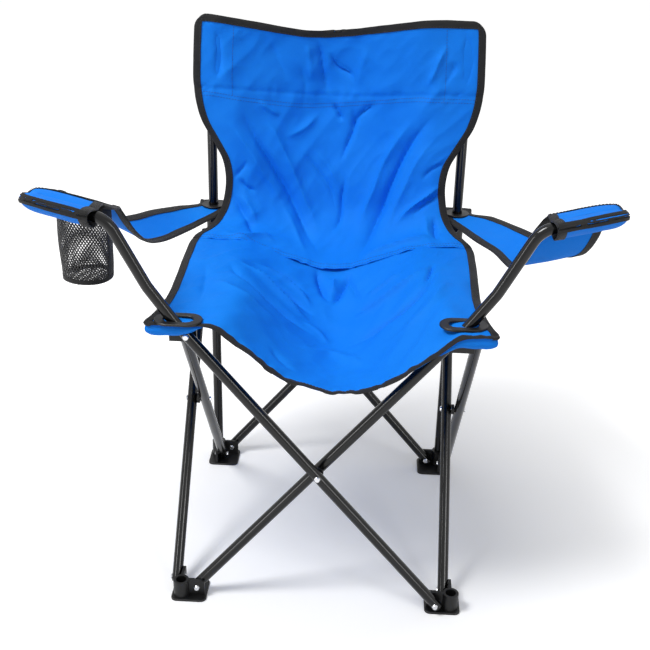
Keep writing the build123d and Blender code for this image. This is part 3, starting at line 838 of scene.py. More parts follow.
@dataclass
class Sheet:
    """A sheet of cloth as a function of a share across and a share along, with folds in it.

    ripple and crumple are the heights of its bumps, depth scales its creases, sewn holds its sewn
    rows as shares along, and front is a direction on its front side.
    """

    creases: tuple[Crease, ...] = ()
    ripple: float = 0.0006
    seed: int = 1
    front: Point = (0.0, -0.5, 0.8)
    sewn: tuple[float, ...] = ()
    depth: float = 1.0
    crumple: float = 0.0
    # how much the bumps calm down at the sides, and from which share across
    calm: Pair = (0.7, 0.86)
    # the crumple runs aslant: these are the sine and cosine of its turn
    aslant: Pair = (0.6, 0.8)

    def bare(self, u: Array, v: Array) -> Array:
        """The sheet without its folds, which each kind of sheet gives."""
        raise NotImplementedError

    def size(self) -> Pair:
        """Half width and length of the sheet in metres, on which its folds are laid out."""
        raise NotImplementedError

    def normals(self, points: Callable[[Array, Array], Array], u: Array, v: Array,
                step: float) -> Array:
        """Normals of a surface, from small steps across and along it, turned to the front.

        Args:
            points: The surface, as a function of the two shares.
            u: Shares across.
            v: Shares along.
            step: Size of the steps.
        Returns:
            The normals.
        """
        du = points(u + step, v) - points(u - step, v)
        dv = points(u, v + step) - points(u, v - step)
        return facing(unit(np.cross(du, dv)), self.front)

    def lifted(self, u: Array, v: Array) -> Array:
        """The sheet's points with its folds along its normals.

        They are its creases, seeded ripples that calm down at its sides, crumple, and a groove with
        puckers at each sewn row. Crumple is bumps with their upper half turned down, which leaves
        sharp small ridges where they cross zero.

        Args:
            u: Shares across.
            v: Shares along.
        Returns:
            Points in the row frame.
        """
        half, long = size = self.size()
        rise = sum((c.rise(u, v, size) for c in self.creases), np.zeros_like(u)) * self.depth
        calm = 1 - self.calm[0] * smooth_step(self.calm[1], 1.0, np.abs(u))
        for share, bumps in RIPPLE.layers((u + 2) * half, (v + 1) * long, self.seed):
            rise = rise + calm * share * self.ripple * bumps
        sine, cosine = self.aslant
        slope = cosine * u * half + sine * v * long
        climb = cosine * v * long - sine * u * half
        for share, bumps in CRUMPLE.layers(slope, climb, self.seed):
            rise = rise + calm * share * self.crumple * (0.5 - np.sqrt(bumps * bumps + 0.002))
        for n, row in enumerate(self.sewn):
            rise = rise + SewnGroove().rise((u + 2) * half, (v - row) * long, n, self.seed)
        return self.bare(u, v) + self.normals(self.bare, u, v, BARE_STEP) * rise[..., None]

    def at(self, u: Array, v: Array) -> tuple[Array, Array]:
        """The sheet with its folds, and its normals.

        Args:
            u: Shares across.
            v: Shares along.
        Returns:
            Points and normals in the row frame.
        """
        u, v = np.broadcast_arrays(np.asarray(u, float), np.asarray(v, float))
        return self.lifted(u, v), self.normals(self.lifted, u, v, FOLD_STEP)

    def inset(self, u: Array, v: Array, way: Pair, gaps: Sequence[float]) -> tuple[Array, Array]:
        """Lines at given distances from a line on the sheet, measured along the sheet.

        Args:
            u: Shares across of the first line.
            v: Shares along of it.
            way: Direction of the further lines in shares across and along.
            gaps: Distances in metres.
        Returns:
            Points and normals, one line per gap.
        """
        u, v = np.broadcast_arrays(np.asarray(u, float), np.asarray(v, float))
        # steps over half the sheet, finer near the line
        share = 0.5 * np.linspace(0, 1, 90) ** 1.6
        trail = self.bare(u + way[0] * share[:, None], v + way[1] * share[:, None])
        steps = np.linalg.norm(np.diff(trail, axis=0), axis=-1)
        run = np.concatenate([np.zeros((1, len(u))), np.cumsum(steps, 0)])
        found = []
        for gap in gaps:
            move = np.array([np.interp(gap, run[:, k], share) for k in range(len(u))])
            found.append(self.at(u + way[0] * move, v + way[1] * move))
        points, normals = zip(*found)
        return np.stack(points), np.stack(normals)

    def cloth(self, name: str, u: Array, v: Array) -> bpy.types.Object:
        """The sheet's mesh over rows of v and columns of u."""
        points = self.lifted(*np.meshgrid(u, v))
        return sheet_mesh(name, points, facing(grid_normals(points), self.front))

    def tape(self, name: str, u: Array, v: Array, way: Pair, seed: int) -> bpy.types.Object:
        """Binding tape folded over the sheet's edge along the given line."""
        return tape_mesh(name, *self.inset(u, v, way, TAPE_GAPS), TAPE_LIFT, seed)

    def stitches(self, name: str, u: Array, v: Array, way: Pair, gap: float,
                 lift: float = 0.0002) -> bpy.types.Object:
        """A row of stitches on the sheet's front at a distance from the given line."""
        points, normals = self.inset(u, v, way, (gap,))
        return Thread().row(name, points[0] + normals[0] * lift, normals[0])


def strip_size(path: Array, half_widths: Array) -> Pair:
    """Mean half width and length in metres of a strip that is drawn in millimetres."""
    run = np.linalg.norm(np.diff(path, axis=0), axis=1).sum()
    return float(half_widths.mean()) * MM, float(run) * MM


@dataclass
class Slung(Sheet):
    """A sheet slung between two edges: a smooth V across, swept along the chair.

    Each station has the edge's half width, depth and height, and the middle's depth and height.
    Across it, the cloth is level from its edge to the knee and then falls to the middle with a
    rounded bottom, which sways from the centre line. The two corners at one end are rounded.
    """

    edge: tuple[Point, ...] = ()
    middle: tuple[Pair, ...] = ()
    knee: tuple[float, ...] = ()
    knee_sharpness: float = 16.0
    round_share: tuple[float, ...] = (0.28, 0.28)
    sway: tuple[float, ...] = (0.0, 0.0)
    corner: float = 0.02
    corner_end: float = 0.0
    # nine tenths of the full draw, so that the lines across and along never fall together
    corner_draw: float = 0.45

    def rounded(self, u: Array, v: Array) -> tuple[Array, Array]:
        """Draws in the two corners at one end, each as a square is drawn in to a disc.

        Args:
            u: Shares across.
            v: Shares along.
        Returns:
            Shares whose outer lines run round the corners.
        """
        row, inward = (self.edge[0], 1.0) if self.corner_end < 0.5 else (self.edge[-1], -1.0)
        half, long = row[0] * MM, self.size()[1]
        a = np.clip((np.abs(u) * half - (half - self.corner)) / self.corner, 0, 1)
        b = np.clip(1 - np.abs(v - self.corner_end) * long / self.corner, 0, 1)
        da = a * (1 - np.sqrt(1 - self.corner_draw * b * b))
        db = b * (1 - np.sqrt(1 - self.corner_draw * a * a))
        return u - np.sign(u) * da * self.corner / half, v + inward * db * self.corner / long

    def size(self) -> Pair:
        """Mean half width and length of the sheet in metres."""
        rows = np.asarray(self.edge)
        return strip_size(rows[:, 1:], rows[:, 0])

    def bare(self, u: Array, v: Array) -> Array:
        """The sheet without its folds.

        Args:
            u: Shares across, from -1 on the left edge to 1 on the right.
            v: Shares along, from 0 to 1.
        Returns:
            Points in the row frame.
        """
        u, v = self.rounded(*np.broadcast_arrays(u, v))
        rows = np.asarray(self.edge, float)
        half, y, z = np.moveaxis(through(chord_knots(rows), rows, v), -1, 0)
        my, mz = np.moveaxis(evenly(self.middle, v), -1, 0)
        q = np.abs(u - evenly(self.sway, v) / half) / evenly(self.knee, v)
        e = evenly(self.round_share, v)
        fall = (np.sqrt(q * q + e * e) - e) / (np.sqrt(1 + e * e) - e)
        sharp = self.knee_sharpness
        w = np.logaddexp(0.0, sharp * (1 - fall)) / np.logaddexp(0.0, sharp)
        return row_frame(np.stack([half * u, y + (my - y) * w, z + (mz - z) * w], -1))


@dataclass
class Ribbon(Sheet):
    """A strap: a smooth run of stations, each with its middle, its half width and its tilt across.

    cup is the depth of its trough in metres. Between the ends of slant_in and slant_out, its width
    slants back by slant.
    """

    stations: tuple[Station, ...] = ()
    cup: float = 0.004
    slant: float = 0.0
    slant_in: Pair = (0.25, 0.5)
    slant_out: Pair = (0.85, 1.0)

    def size(self) -> Pair:
        """Mean half width and length of the strap in metres."""
        rows = np.asarray(self.stations)
        return strip_size(rows[:, :3], rows[:, 3])

    def bare(self, u: Array, v: Array) -> Array:
        """The strap: half its width to each side of its middle, along its tilt, with a trough.

        Args:
            u: Shares across.
            v: Shares along.
        Returns:
            Points in the row frame.
        """
        rows, v = np.asarray(self.stations, float), np.asarray(v)
        x, y, z, half, tilt = np.moveaxis(through(chord_knots(rows[:, :3]), rows, v), -1, 0)
        tilt = np.radians(tilt)
        trough = -self.cup / MM * (1 - u * u) * np.sin(np.pi * np.clip(v, 0, 1))
        turn = self.slant * smooth_step(*self.slant_in, v) * (1 - smooth_step(*self.slant_out, v))
        y = y + turn * half * u * np.cos(tilt)
        z = z + half * u * np.sin(tilt) + trough
        return row_frame(np.stack([x + half * u * np.cos(tilt), y, z], -1))


@dataclass
class SleeveFace(Sheet):
    """One face of an armrest's sleeve, from its sewn rim up over the arm.

    u runs along the rim from the front of the mouth round the tip to the rear of it, v from the rim
    in to the line over the arm. The rim is half a rounded rectangle, whose sides are as straight as
    its squareness says, and the face rises from it as an ellipse does. draw is the share by which
    the middle line is shorter than the rim, and front_lift turns the front edge up.
    """

    start: Point = (0.0, 0.0, 0.0)
    along: Point = (1.0, 0.0, 0.0)
    up: Point = (0.0, 0.0, 1.0)
    length: float = 92.0
    half: float = 42.0
    rise: float = 11.0
    squareness: float = 5.0
    draw: float = 0.2
    front_lift: float = 0.36
    rim_steps: int = 400

    def size(self) -> Pair:
        """Half the rim's length and the face's half width in metres."""
        return (self.length + self.half) * MM, self.half * MM

    def bare(self, u: Array, v: Array) -> Array:
        """The face's points.

        Args:
            u: Shares along the rim, from -1 to 1.
            v: Shares from the rim to the middle line.
        Returns:
            Points in the row frame.
        """
        turn = np.linspace(-math.pi / 2, math.pi / 2, self.rim_steps)
        power = 2 / self.squareness
        rim = np.stack([self.length * np.abs(np.cos(turn)) ** power,
                        self.half * signed_power(np.sin(turn), power)], -1)
        share = 2 * chord_knots(rim) - 1
        a, b = (np.interp(u, share, rim[:, k]) for k in range(2))
        # a little past the rim, so that the steps for its normals have a way to go
        bend = np.clip(v, -0.02, 1) * math.pi / 2
        a, b = a - self.draw * a * (1 - np.cos(bend)), b * np.cos(bend)
        high = self.rise * np.sin(bend)
        lift = self.front_lift * np.maximum(-b, 0)
        along, up = np.array(self.along), np.array(self.up)
        point = (np.array(self.start) + a[..., None] * along + high[..., None] * up
                 + lift[..., None] * np.abs(up) * UP)
        point[..., 1] = point[..., 1] + b
        return row_frame(point)


@dataclass
class HoledPanel(Sheet):
    """The cup's panel: cloth from a round hole out to a rounded rectangle.

    u runs round the hole, v from the hole to the panel's edge. drop is how far the cloth is pulled
    down at the hole.
    """

    centre: Point = (0.0, 0.0, 0.0)
    across: Point = (1.0, 0.0, 0.0)
    back: Point = (0.0, 1.0, 0.0)
    half_across: float = 48.5
    half_back: float = 46.0
    hole: float = 37.0
    drop: float = 2.5
    squareness: int = 8

    def size(self) -> Pair:
        """Half the hole's round and the panel's half depth in metres."""
        return math.pi * self.hole * MM, self.half_back * MM

    def bare(self, u: Array, v: Array) -> Array:
        """The panel's points: straight out from the hole's round to the rounded rectangle.

        Args:
            u: Shares round the hole, from -1 to 1.
            v: Shares from the hole to the edge.
        Returns:
            Points in the row frame.
        """
        turn, n = np.pi * np.asarray(u), self.squareness
        c, s = np.cos(turn), np.sin(turn)
        reach = (np.abs(c / self.half_across) ** n + np.abs(s / self.half_back) ** n) ** (-1 / n)
        r = self.hole + (reach - self.hole) * v
        point = (np.array(self.centre) + (r * c)[..., None] * np.array(self.across)
                 + (r * s)[..., None] * np.array(self.back))
        point[..., 2] = point[..., 2] - self.drop * (1 - np.clip(v, 0, 1)) ** 2
        return row_frame(point)


def edge_columns(half: float, count: int) -> Array:
    """Shares across a sheet from -1 to 1, with a column at each line of the binding tape.

    Args:
        half: Half width of the sheet in metres.
        count: Columns between the tapes.
    Returns:
        The shares.
    """
    near = 1 - np.array(TAPE_GAPS) / half
    inner = np.linspace(-near[-1], near[-1], count)
    return np.concatenate([-near[:-1], inner, near[:-1][::-1]])


# Sub-assemblies


@dataclass(frozen=True)
class Fold:
    """How a soft piece is meant to crumple as the frame folds: along an axis, to a share of its
    size.
    """

    axis: Point
    anchor: Point
    keep: float


@dataclass(frozen=True)
class Edge:
    """A bound edge of a sheet: its shares, the way in from it, its tape's seed and its row."""

    u: Any
    v: Any
    way: Pair
    seed: int
    stitched: bool = True


@dataclass
class Assembly:
    """A sub-assembly: makes its pieces, dresses them and hangs them on their bodies."""

    wardrobe: Wardrobe

    def hang(self, thing: bpy.types.Object, finish: Finish, body: str,
             fold: Fold | None = None) -> bpy.types.Object:
        """Dresses a piece and sets it on a body of the frame.

        Args:
            thing: The piece.
            finish: Its finish.
            body: The body that carries it.
            fold: How it is meant to crumple as the frame folds, if it does; it only gives the piece
                its own mesh.
        Returns:
            The piece.
        """
        self.wardrobe.dress(thing, finish)
        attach(thing, body)
        if fold is not None:
            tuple(fold.axis)
            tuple(fold.anchor)
            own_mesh(thing)
        LOG.info("%s: %d faces on %s", thing.name, len(thing.data.polygons), body)
        return thing

    def bind(self, sheet: Sheet, edges: Sequence[Edge], tape: str, row: str, body: str,
             fold: Fold) -> None:
        """Binds a sheet's edges with tape and sews the tape down.

        Args:
            sheet: The sheet.
            edges: Its edges.
            tape: Name of the tape's piece.
            row: Name of the piece for the rows of stitches.
            body: The body that carries both.
            fold: How they are meant to crumple; each piece only gets its own mesh from it.
        """
        tapes = [sheet.tape(f"{tape}_{n}", e.u, e.v, e.way, e.seed) for n, e in enumerate(edges)]
        self.hang(joined(tape, tapes), BINDING, body, fold)
        rows = [sheet.stitches(f"{row}_{n}", e.u, e.v, e.way, SEWN_GAP, SEWN_LIFT)
                for n, e in enumerate(edges) if e.stitched]
        if rows:
            self.hang(joined(row, rows), THREAD_BLACK, body, fold)


@dataclass
class Back(Assembly):
    """The back: cloth slung between the posts, bound on its sides and top, with head pockets.

    hem is the distance of the hem's rows from the top. crown gives the rings at a pocket's top, as
    millimetres below it and shares of the pocket's width.
    """

    hem: float = 0.121
    hem_rows: Pair = (0.0, 0.0058)
    seam_rows: Pair = (0.0034, 0.0098)
    pocket_row: float = 0.74
    fold: Fold = Fold((1.0, 0.0, 0.0), (-0.206, 0.2, 0.6), 0.24)
    body: str = "rear_left_base"
    crown: tuple[Pair, ...] = ((4.0, 0.97), (2.0, 0.9), (0.8, 0.74), (0.2, 0.45), (0.0, 0.12))

    def surface(self) -> Slung:
        """The back's sheet, from its top edge down to its seam with the seat."""
        return Slung(
            edge=((226, 196.4, 810), (230, 196, 745), (231, 196, 700), (227, 195.6, 668),
                  (219, 195, 641), (207, 194, 619), (196, 192, 600), (186, 190, 581),
                  (181, 188, 559), (180, 186, 541), (182, 182, 521), (186, 172, 502),
                  (195, 156, 486), (208, 130, 477.5), (220, 112, 474), (224, 100.3, 472.8)),
            middle=((227, 784), (235, 743), (241, 691), (241, 640), (234, 588), (221, 535),
                    (203, 484), (155, 446), (100.3, 425.8)),
            knee=(0.74, 0.73, 0.72, 0.72, 0.76, 0.8, 0.79, 0.7, 0.635),
            sway=(-34, -26, -14, -5, 0, 0, 0, 0, 0), corner=0.02,
            creases=self.creases(), ripple=0.0015, seed=11, depth=2.7, crumple=0.0062,
            sewn=(0.282, 1.0))

    def creases(self) -> tuple[Crease, ...]:
        """The back's folds: two long valleys to the seat, a raised tongue between, short folds."""
        return (
            # the two long valleys from the hem to the seam, each between two ridges
            Crease(((-0.69, 0.34), (-0.65, 0.47), (-0.57, 0.59), (-0.43, 0.69), (-0.29, 0.78),
                    (-0.18, 0.86), (-0.09, 0.94)), -0.0045, 0.0075),
            Crease(((-0.54, 0.34), (-0.48, 0.46), (-0.41, 0.58), (-0.3, 0.69), (-0.18, 0.78),
                    (-0.1, 0.85)), 0.0028, 0.009),
            Crease(((-0.79, 0.38), (-0.76, 0.5), (-0.7, 0.6), (-0.55, 0.69),
                    (-0.39, 0.77)), 0.002, 0.009),
            Crease(((0.72, 0.33), (0.63, 0.42), (0.57, 0.52), (0.53, 0.61), (0.46, 0.7),
                    (0.35, 0.8),
                    (0.24, 0.91), (0.15, 1)), -0.0045, 0.0075),
            Crease(((0.59, 0.34), (0.49, 0.45), (0.42, 0.56), (0.36, 0.66), (0.27, 0.75),
                    (0.18, 0.85)), 0.0028, 0.009),
            Crease(((0.8, 0.4), (0.74, 0.5), (0.69, 0.6), (0.63, 0.68), (0.54, 0.76),
                    (0.41, 0.88)), 0.002, 0.009),
            # a sharp fold at the right waist
            Crease(((1, 0.65), (0.83, 0.71), (0.66, 0.77), (0.52, 0.82)), 0.0032, 0.004),
            Crease(((1, 0.69), (0.85, 0.73), (0.68, 0.79)), -0.0022, 0.004),
            # gathers over the middle of the hem
            Crease(((-0.16, 0.04), (-0.13, 0.13), (-0.1, 0.22), (-0.06, 0.29)), -0.003, 0.005),
            Crease(((-0.23, 0.05), (-0.21, 0.14), (-0.19, 0.24)), 0.0015, 0.006),
            Crease(((-0.07, 0.1), (-0.01, 0.17), (0.08, 0.2), (0.11, 0.23)), -0.0022, 0.0035),
            # gathers under the middle of the hem
            Crease(((-0.04, 0.31), (0, 0.35), (0.04, 0.39)), -0.0026, 0.0032),
            Crease(((0.1, 0.31), (0.12, 0.41), (0.08, 0.48), (0.03, 0.56)), -0.0026, 0.004),
            Crease(((0.27, 0.31), (0.16, 0.36), (0.1, 0.42)), -0.0022, 0.004),
            Crease(((-0.12, 0.35), (-0.26, 0.42), (-0.42, 0.47)), 0.0022, 0.006),
            Crease(((-0.57, 0.32), (-0.5, 0.35), (-0.42, 0.38)), 0.0022, 0.0045),
            # thin folds down the middle
            Crease(((-0.31, 0.51), (-0.17, 0.58), (-0.05, 0.65), (0.02, 0.74)), -0.0018, 0.004),
            Crease(((-0.2, 0.49), (-0.04, 0.58), (0.08, 0.66)), 0.0014, 0.005),
            Crease(((0.1, 0.58), (0.06, 0.68), (0.04, 0.78), (-0.05, 0.83)), -0.0024, 0.0045),
            # folds at the left waist
            Crease(((-0.95, 0.67), (-0.84, 0.62), (-0.77, 0.58)), -0.0018, 0.004),
            Crease(((-0.9, 0.66), (-0.8, 0.7), (-0.71, 0.71)), -0.0024, 0.0038),
            Crease(((-0.98, 0.71), (-0.85, 0.78), (-0.71, 0.85), (-0.58, 0.95)), -0.003, 0.005),
            Crease(((-0.87, 0.72), (-0.76, 0.78), (-0.64, 0.85)), 0.002, 0.005),
            # folds that run in from the sides above the seam
            Crease(((-0.86, 0.93), (-0.64, 0.97), (-0.56, 0.92), (-0.41, 0.95)), 0.003, 0.0055),
            Crease(((0.82, 0.9), (0.64, 0.93), (0.48, 0.93), (0.3, 0.95),
                    (0.17, 0.98)), 0.0026, 0.005),
            Crease(((0.72, 0.99), (0.58, 1)), -0.002, 0.005),
            Crease(((0.89, 0.78), (0.8, 0.94)), -0.0028, 0.0045),
            Crease(((0.82, 0.78), (0.75, 0.92)), 0.0016, 0.005),
            # folds in the head band and along its pockets
            Crease(((0.75, 0.08), (0.7, 0.14), (0.65, 0.21), (0.61, 0.26)), 0.0024, 0.0045),
            Crease(((0.81, 0.14), (0.78, 0.2), (0.7, 0.26)), -0.0015, 0.005),
            Crease(((-0.85, 0.04), (-0.83, 0.15), (-0.84, 0.27)), -0.0026, 0.0045),
            Crease(((0.87, 0.03), (0.89, 0.14), (0.88, 0.26)), -0.0024, 0.0045),
            # slack at the sides
            Crease(((0.97, 0.57), (0.86, 0.6), (0.78, 0.65)), -0.0015, 0.0045),
            Crease(((-0.48, 0.07), (-0.43, 0.15), (-0.34, 0.25)), -0.0012, 0.008),
            Crease(((0.21, 0.08), (0.16, 0.17), (0.14, 0.26)), 0.0012, 0.008),
            Crease(((-0.28, 0.15), (-0.24, 0.24), (-0.26, 0.35)), -0.0011, 0.007),
            Crease(((-0.85, 0.17), (-0.75, 0.26), (-0.69, 0.32)), 0.0012, 0.006),
            Crease(((-0.51, 0.72), (-0.32, 0.84), (-0.19, 0.96)), 0.0015, 0.006),
        )

    def build(self) -> None:
        """Makes the back's cloth, binding, sewn rows and head pockets."""
        sheet = self.surface()
        half, long = sheet.size()
        u, v = edge_columns(half, 180), np.linspace(0, 1, 200)
        cloth = self.hang(sheet.cloth("back_cloth", u, v), POLYESTER, self.body, self.fold)
        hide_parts("back_panel")
        rows, across = np.linspace(0, 1, 150), np.linspace(-1, 1, 150)
        edges = (Edge(-1.0, rows, (1, 0), 3), Edge(1.0, rows, (-1, 0), 4),
                 Edge(across, 0.0, (0, 1), 5))
        self.bind(sheet, edges, "back_binding", "back_binding_stitches", self.body, self.fold)
        inner, down = np.linspace(-0.95, 0.95, 150), np.linspace(0.03, self.hem / long, 40)
        lines = [(inner, 0.0, (0, 1), self.hem + gap) for gap in self.hem_rows]
        lines += [(inner, 1.0, (0, -1), gap) for gap in self.seam_rows]
        lines += [(side.value * self.pocket_row, down, (1, 0), 0.0) for side in Side]
        blue = [sheet.stitches(f"back_stitches_{n}", *line) for n, line in enumerate(lines)]
        self.hang(joined("back_stitches", blue), THREAD_BLUE, self.body, self.fold)
        for side in Side:
            self.pocket(side)

    def pocket(self, side: Side) -> None:
        """A head pocket behind the back: a flat-fronted sleeve over the post's top.

        The section is an oval, flatter in front. Its rings go up inside, over the closed top and
        down outside.

        Args:
            side: Which post it covers.
        """
        low, high = (np.array(c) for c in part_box(f"head_pocket_{side.word}"))
        centre, half = (low + high) / 2, (high - low) / 2
        turn = np.linspace(0, 2 * math.pi, 48, endpoint=False)
        shape = np.stack([signed_power(np.cos(turn), 0.8), signed_power(np.sin(turn), 0.75)], -1)
        wall, crown = np.linspace(0, 1, 26), np.array(self.crown)
        heights = np.concatenate([low[2] + wall * 2 * half[2] * 0.94, high[2] - crown[:, 0] * MM])
        widths = np.concatenate([1 + 0.05 * np.cos(3 * wall), crown[:, 1]])
        rumple = 1 + 0.05 * lattice_noise(turn[None] * 2.2 + 0 * heights[:, None],
                                          heights[:, None] / 0.016 + 0 * turn[None],
                                          31 + side.value)

        def rings(shrink: float) -> Array:
            """The pocket's rings from bottom to top.

            Args:
                shrink: How far they are drawn in, in metres.
            Returns:
                Rings by points by x, y, z.
            """
            reach = np.maximum(half[:2] - shrink, 0.001)
            flat = shape[None] * reach * (widths[:, None] * rumple)[..., None]
            top = np.minimum(heights, high[2] - shrink)[:, None, None]
            return np.concatenate([centre[:2] + flat, np.broadcast_to(top, (*rumple.shape, 1))], -1)

        wound = np.concatenate([rings(CLOTH)[::-1], rings(0.0)])
        run = np.linspace(0, 0.26, len(wound))
        uv = np.stack(np.broadcast_arrays((turn * half[0])[None], run[:, None]), -1)
        made = tube_mesh(f"head_pocket_cloth_{side.word}", wound, uv)
        self.hang(made, POLYESTER, f"rear_{side.word}_base")
        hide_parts(f"head_pocket_{side.word}")


@dataclass
class Seat(Assembly):
    """The seat: cloth slung between the sides, in two halves that part as the chair folds.

    The flap is the cloth that is turned down under a front corner: its depth, how far it bulges
    out and tucks in under the seat, and its gap to the edge, in metres.
    """

    flap_drop: float = 0.017
    flap_bulge: float = 0.004
    flap_tuck: float = 0.007
    flap_gap: float = 0.0022

    def surface(self) -> Slung:
        """The seat's sheet, from under the back to its front edge."""
        return Slung(
            edge=((200, 177, 471), (216, 135, 471), (224, 100, 471), (225, 40, 471),
                  (222, -60, 471), (221, -120, 471), (225, -170, 470.6), (234, -208, 470),
                  (246, -230, 468.6)),
            middle=((177, 441), (126, 429), (75, 413), (24, 395), (-27, 379), (-80, 370),
                    (-134, 371), (-190, 377), (-247, 387)),
            knee=(0.71, 0.64, 0.63, 0.63, 0.63, 0.64, 0.65, 0.66, 0.67),
            round_share=(0.28, 0.28, 0.3, 0.5, 1.1),
            sway=(0, 0, 0, 4, 10, 16, 20, 23, 24), corner=0.022, corner_end=1.0,
            creases=self.creases(), ripple=0.0013, seed=23, depth=3.0, crumple=0.0056,
            sewn=(0.975,))

    def creases(self) -> tuple[Crease, ...]:
        """The seat's folds: creases that run in from the sides of the seam to the middle."""
        return (
            # the left fan from the seam to the middle
            Crease(((-0.69, 0.42), (-0.6, 0.52), (-0.44, 0.55), (-0.24, 0.56),
                    (-0.05, 0.58)), -0.003, 0.0055),
            Crease(((-0.64, 0.41), (-0.46, 0.44), (-0.3, 0.47), (-0.1, 0.51)), 0.0032, 0.005),
            Crease(((-0.59, 0.39), (-0.39, 0.4), (-0.22, 0.42), (-0.07, 0.47)), -0.0028, 0.0045),
            Crease(((-0.56, 0.35), (-0.33, 0.34), (-0.17, 0.38), (-0.1, 0.43)), 0.0024, 0.0045),
            Crease(((-0.48, 0.31), (-0.28, 0.31), (-0.14, 0.35)), -0.002, 0.0045),
            # the V where the long valleys end
            Crease(((-0.11, 0.17), (-0.06, 0.27), (0.01, 0.37)), -0.004, 0.0055),
            Crease(((0.15, 0.2), (0.08, 0.29), (0.03, 0.38)), -0.004, 0.0055),
            Crease(((0.03, 0.22), (0.03, 0.3)), 0.002, 0.006),
            # the right fan
            Crease(((0.69, 0.38), (0.52, 0.44), (0.36, 0.46), (0.16, 0.47)), 0.003, 0.005),
            Crease(((0.61, 0.4), (0.47, 0.42), (0.32, 0.44), (0.17, 0.44)), -0.0026, 0.0045),
            Crease(((0.77, 0.4), (0.57, 0.58), (0.33, 0.6), (0.14, 0.63)), -0.003, 0.006),
            Crease(((0.52, 0.34), (0.38, 0.36), (0.25, 0.38)), 0.002, 0.0045),
            Crease(((0.72, 0.34), (0.68, 0.44), (0.64, 0.52)), -0.0026, 0.0035),
            # broad slack beside the fans, and the rise to the front edge
            Crease(((0.83, 0.51), (0.64, 0.71), (0.39, 0.72)), 0.0018, 0.008),
            Crease(((-0.75, 0.6), (-0.56, 0.69), (-0.31, 0.67)), 0.0018, 0.008),
            Crease(((-0.23, 0.78), (0.04, 0.66), (0.35, 0.84)), 0.0018, 0.009),
            Crease(((0.11, 0.22), (0.16, 0.29), (0.23, 0.4)), -0.0016, 0.004),
            Crease(((-0.84, 0.43), (-0.8, 0.65), (-0.79, 0.82)), -0.0012, 0.007),
            Crease(((0.94, 0.47), (0.97, 0.62), (0.99, 0.74)), -0.0012, 0.007),
            Crease(((-0.18, 0.52), (-0.05, 0.55), (0.04, 0.6)), 0.0016, 0.005),
            Crease(((-0.32, 0.85), (-0.25, 0.89), (-0.14, 0.92)), -0.0016, 0.006),
        )

    def fold(self, side: Side) -> Fold:
        """How a half is meant to crumple: from front to back, towards its collar."""
        return Fold((0.0, 1.0, 0.0), (side.value * 0.206, 0.21, 0.47), 0.24)

    def build(self) -> None:
        """Makes both halves."""
        sheet = self.surface()
        for side in Side:
            self.half(sheet, side)

    def half(self, sheet: Slung, side: Side) -> None:
        """Makes one half with its binding, sewn rows and front corner flap.

        Args:
            sheet: The whole seat's sheet.
            side: Which half.
        """
        sign, word = side.value, side.word
        body, fold = f"seat_half_{word}", self.fold(side)
        near = 1 - np.array(TAPE_GAPS) / sheet.size()[0]
        u = sign * np.concatenate([np.linspace(0.0, near[-1], 96), near[:-1][::-1]])
        v = np.concatenate([np.linspace(0, 0.974, 190), [0.982, 0.99, 1.0]])
        cloth = self.hang(sheet.cloth(f"seat_cloth_{word}", u, v), POLYESTER, body, fold)
        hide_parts(f"seat_{word}")
        rows, across = np.linspace(0, 1, 130), sign * np.linspace(0.0, 1, 110)
        edges = (Edge(sign, rows, (-sign, 0), 13 + sign), Edge(across, 1.0, (0, -1), 17 + sign))
        self.bind(sheet, edges, f"seat_binding_{word}", f"seat_stitches_{word}", body, fold)
        flap = self.hang(self.flap(sheet, side), POLYESTER, body, fold)

    def flap(self, sheet: Slung, side: Side) -> bpy.types.Object:
        """The turned-down cloth under a front corner, which runs out at both ends.

        It hangs from the front edge and round the corner, bulges out at first and tucks in below.

        Args:
            sheet: The seat's sheet.
            side: Which corner.
        Returns:
            The flap.
        """
        sign = side.value
        front = np.stack([sign * np.linspace(0.66, 0.985, 30), np.full(30, 0.994)])
        round_side = np.stack([np.full(12, sign * 0.985), np.linspace(0.985, 0.9, 12)])
        top, _ = sheet.at(*np.concatenate([front, round_side], 1))
        share = np.clip(np.linspace(0, 1, len(top)), 0.02, 0.98)
        drop = self.flap_drop * np.sin(np.pi * share) ** 0.6
        down = np.linspace(0, 1, 9)[:, None]
        inward = unit(np.array([-sign * 0.5, 1.0, 0.0]))
        out = np.sin(np.pi * down * 0.8) * self.flap_bulge
        tuck = (down**2)[..., None] * inward * self.flap_tuck
        points = top[None] - out[..., None] * inward + tuck
        points[..., 2] -= down * drop + self.flap_gap
        normals = facing(grid_normals(points), (sign * 0.5, -1.0, -0.3))
        return sheet_mesh(f"seat_flap_{side.word}", points, normals)


@dataclass
class Tabs(Assembly):
    """The webbing tabs that hold the seat's rear corners on the collars.

    run is the middle line of the right tab, from the collar's top forward and down to the seat.
    """

    half: float = 13.0
    thick: float = 0.0018
    run: tuple[Point, ...] = ((206, 218, 492.6), (206, 206, 492.6), (205.5, 194, 491.6),
                              (197, 184, 480), (193, 175, 473.4), (187, 166, 473.0))

    def build(self) -> None:
        """Makes both tabs."""
        for side in Side:
            s, word = side.value, side.word
            strap = Ribbon(stations=tuple((s * x, y, z, self.half, 0) for x, y, z in self.run),
                           cup=0.0004, ripple=0.0002, seed=41 + s, front=(0.0, -0.3, 1.0))
            u, v = np.linspace(-1, 1, 14), np.linspace(0, 1, 60)
            grid = strap.at(*np.meshgrid(u, v))
            made = sheet_mesh(f"seat_tab_webbing_{word}", *grid, self.thick)
            self.hang(made, WEBBING, f"collar_rear_{word}")
            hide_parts(f"seat_tab_{word}")


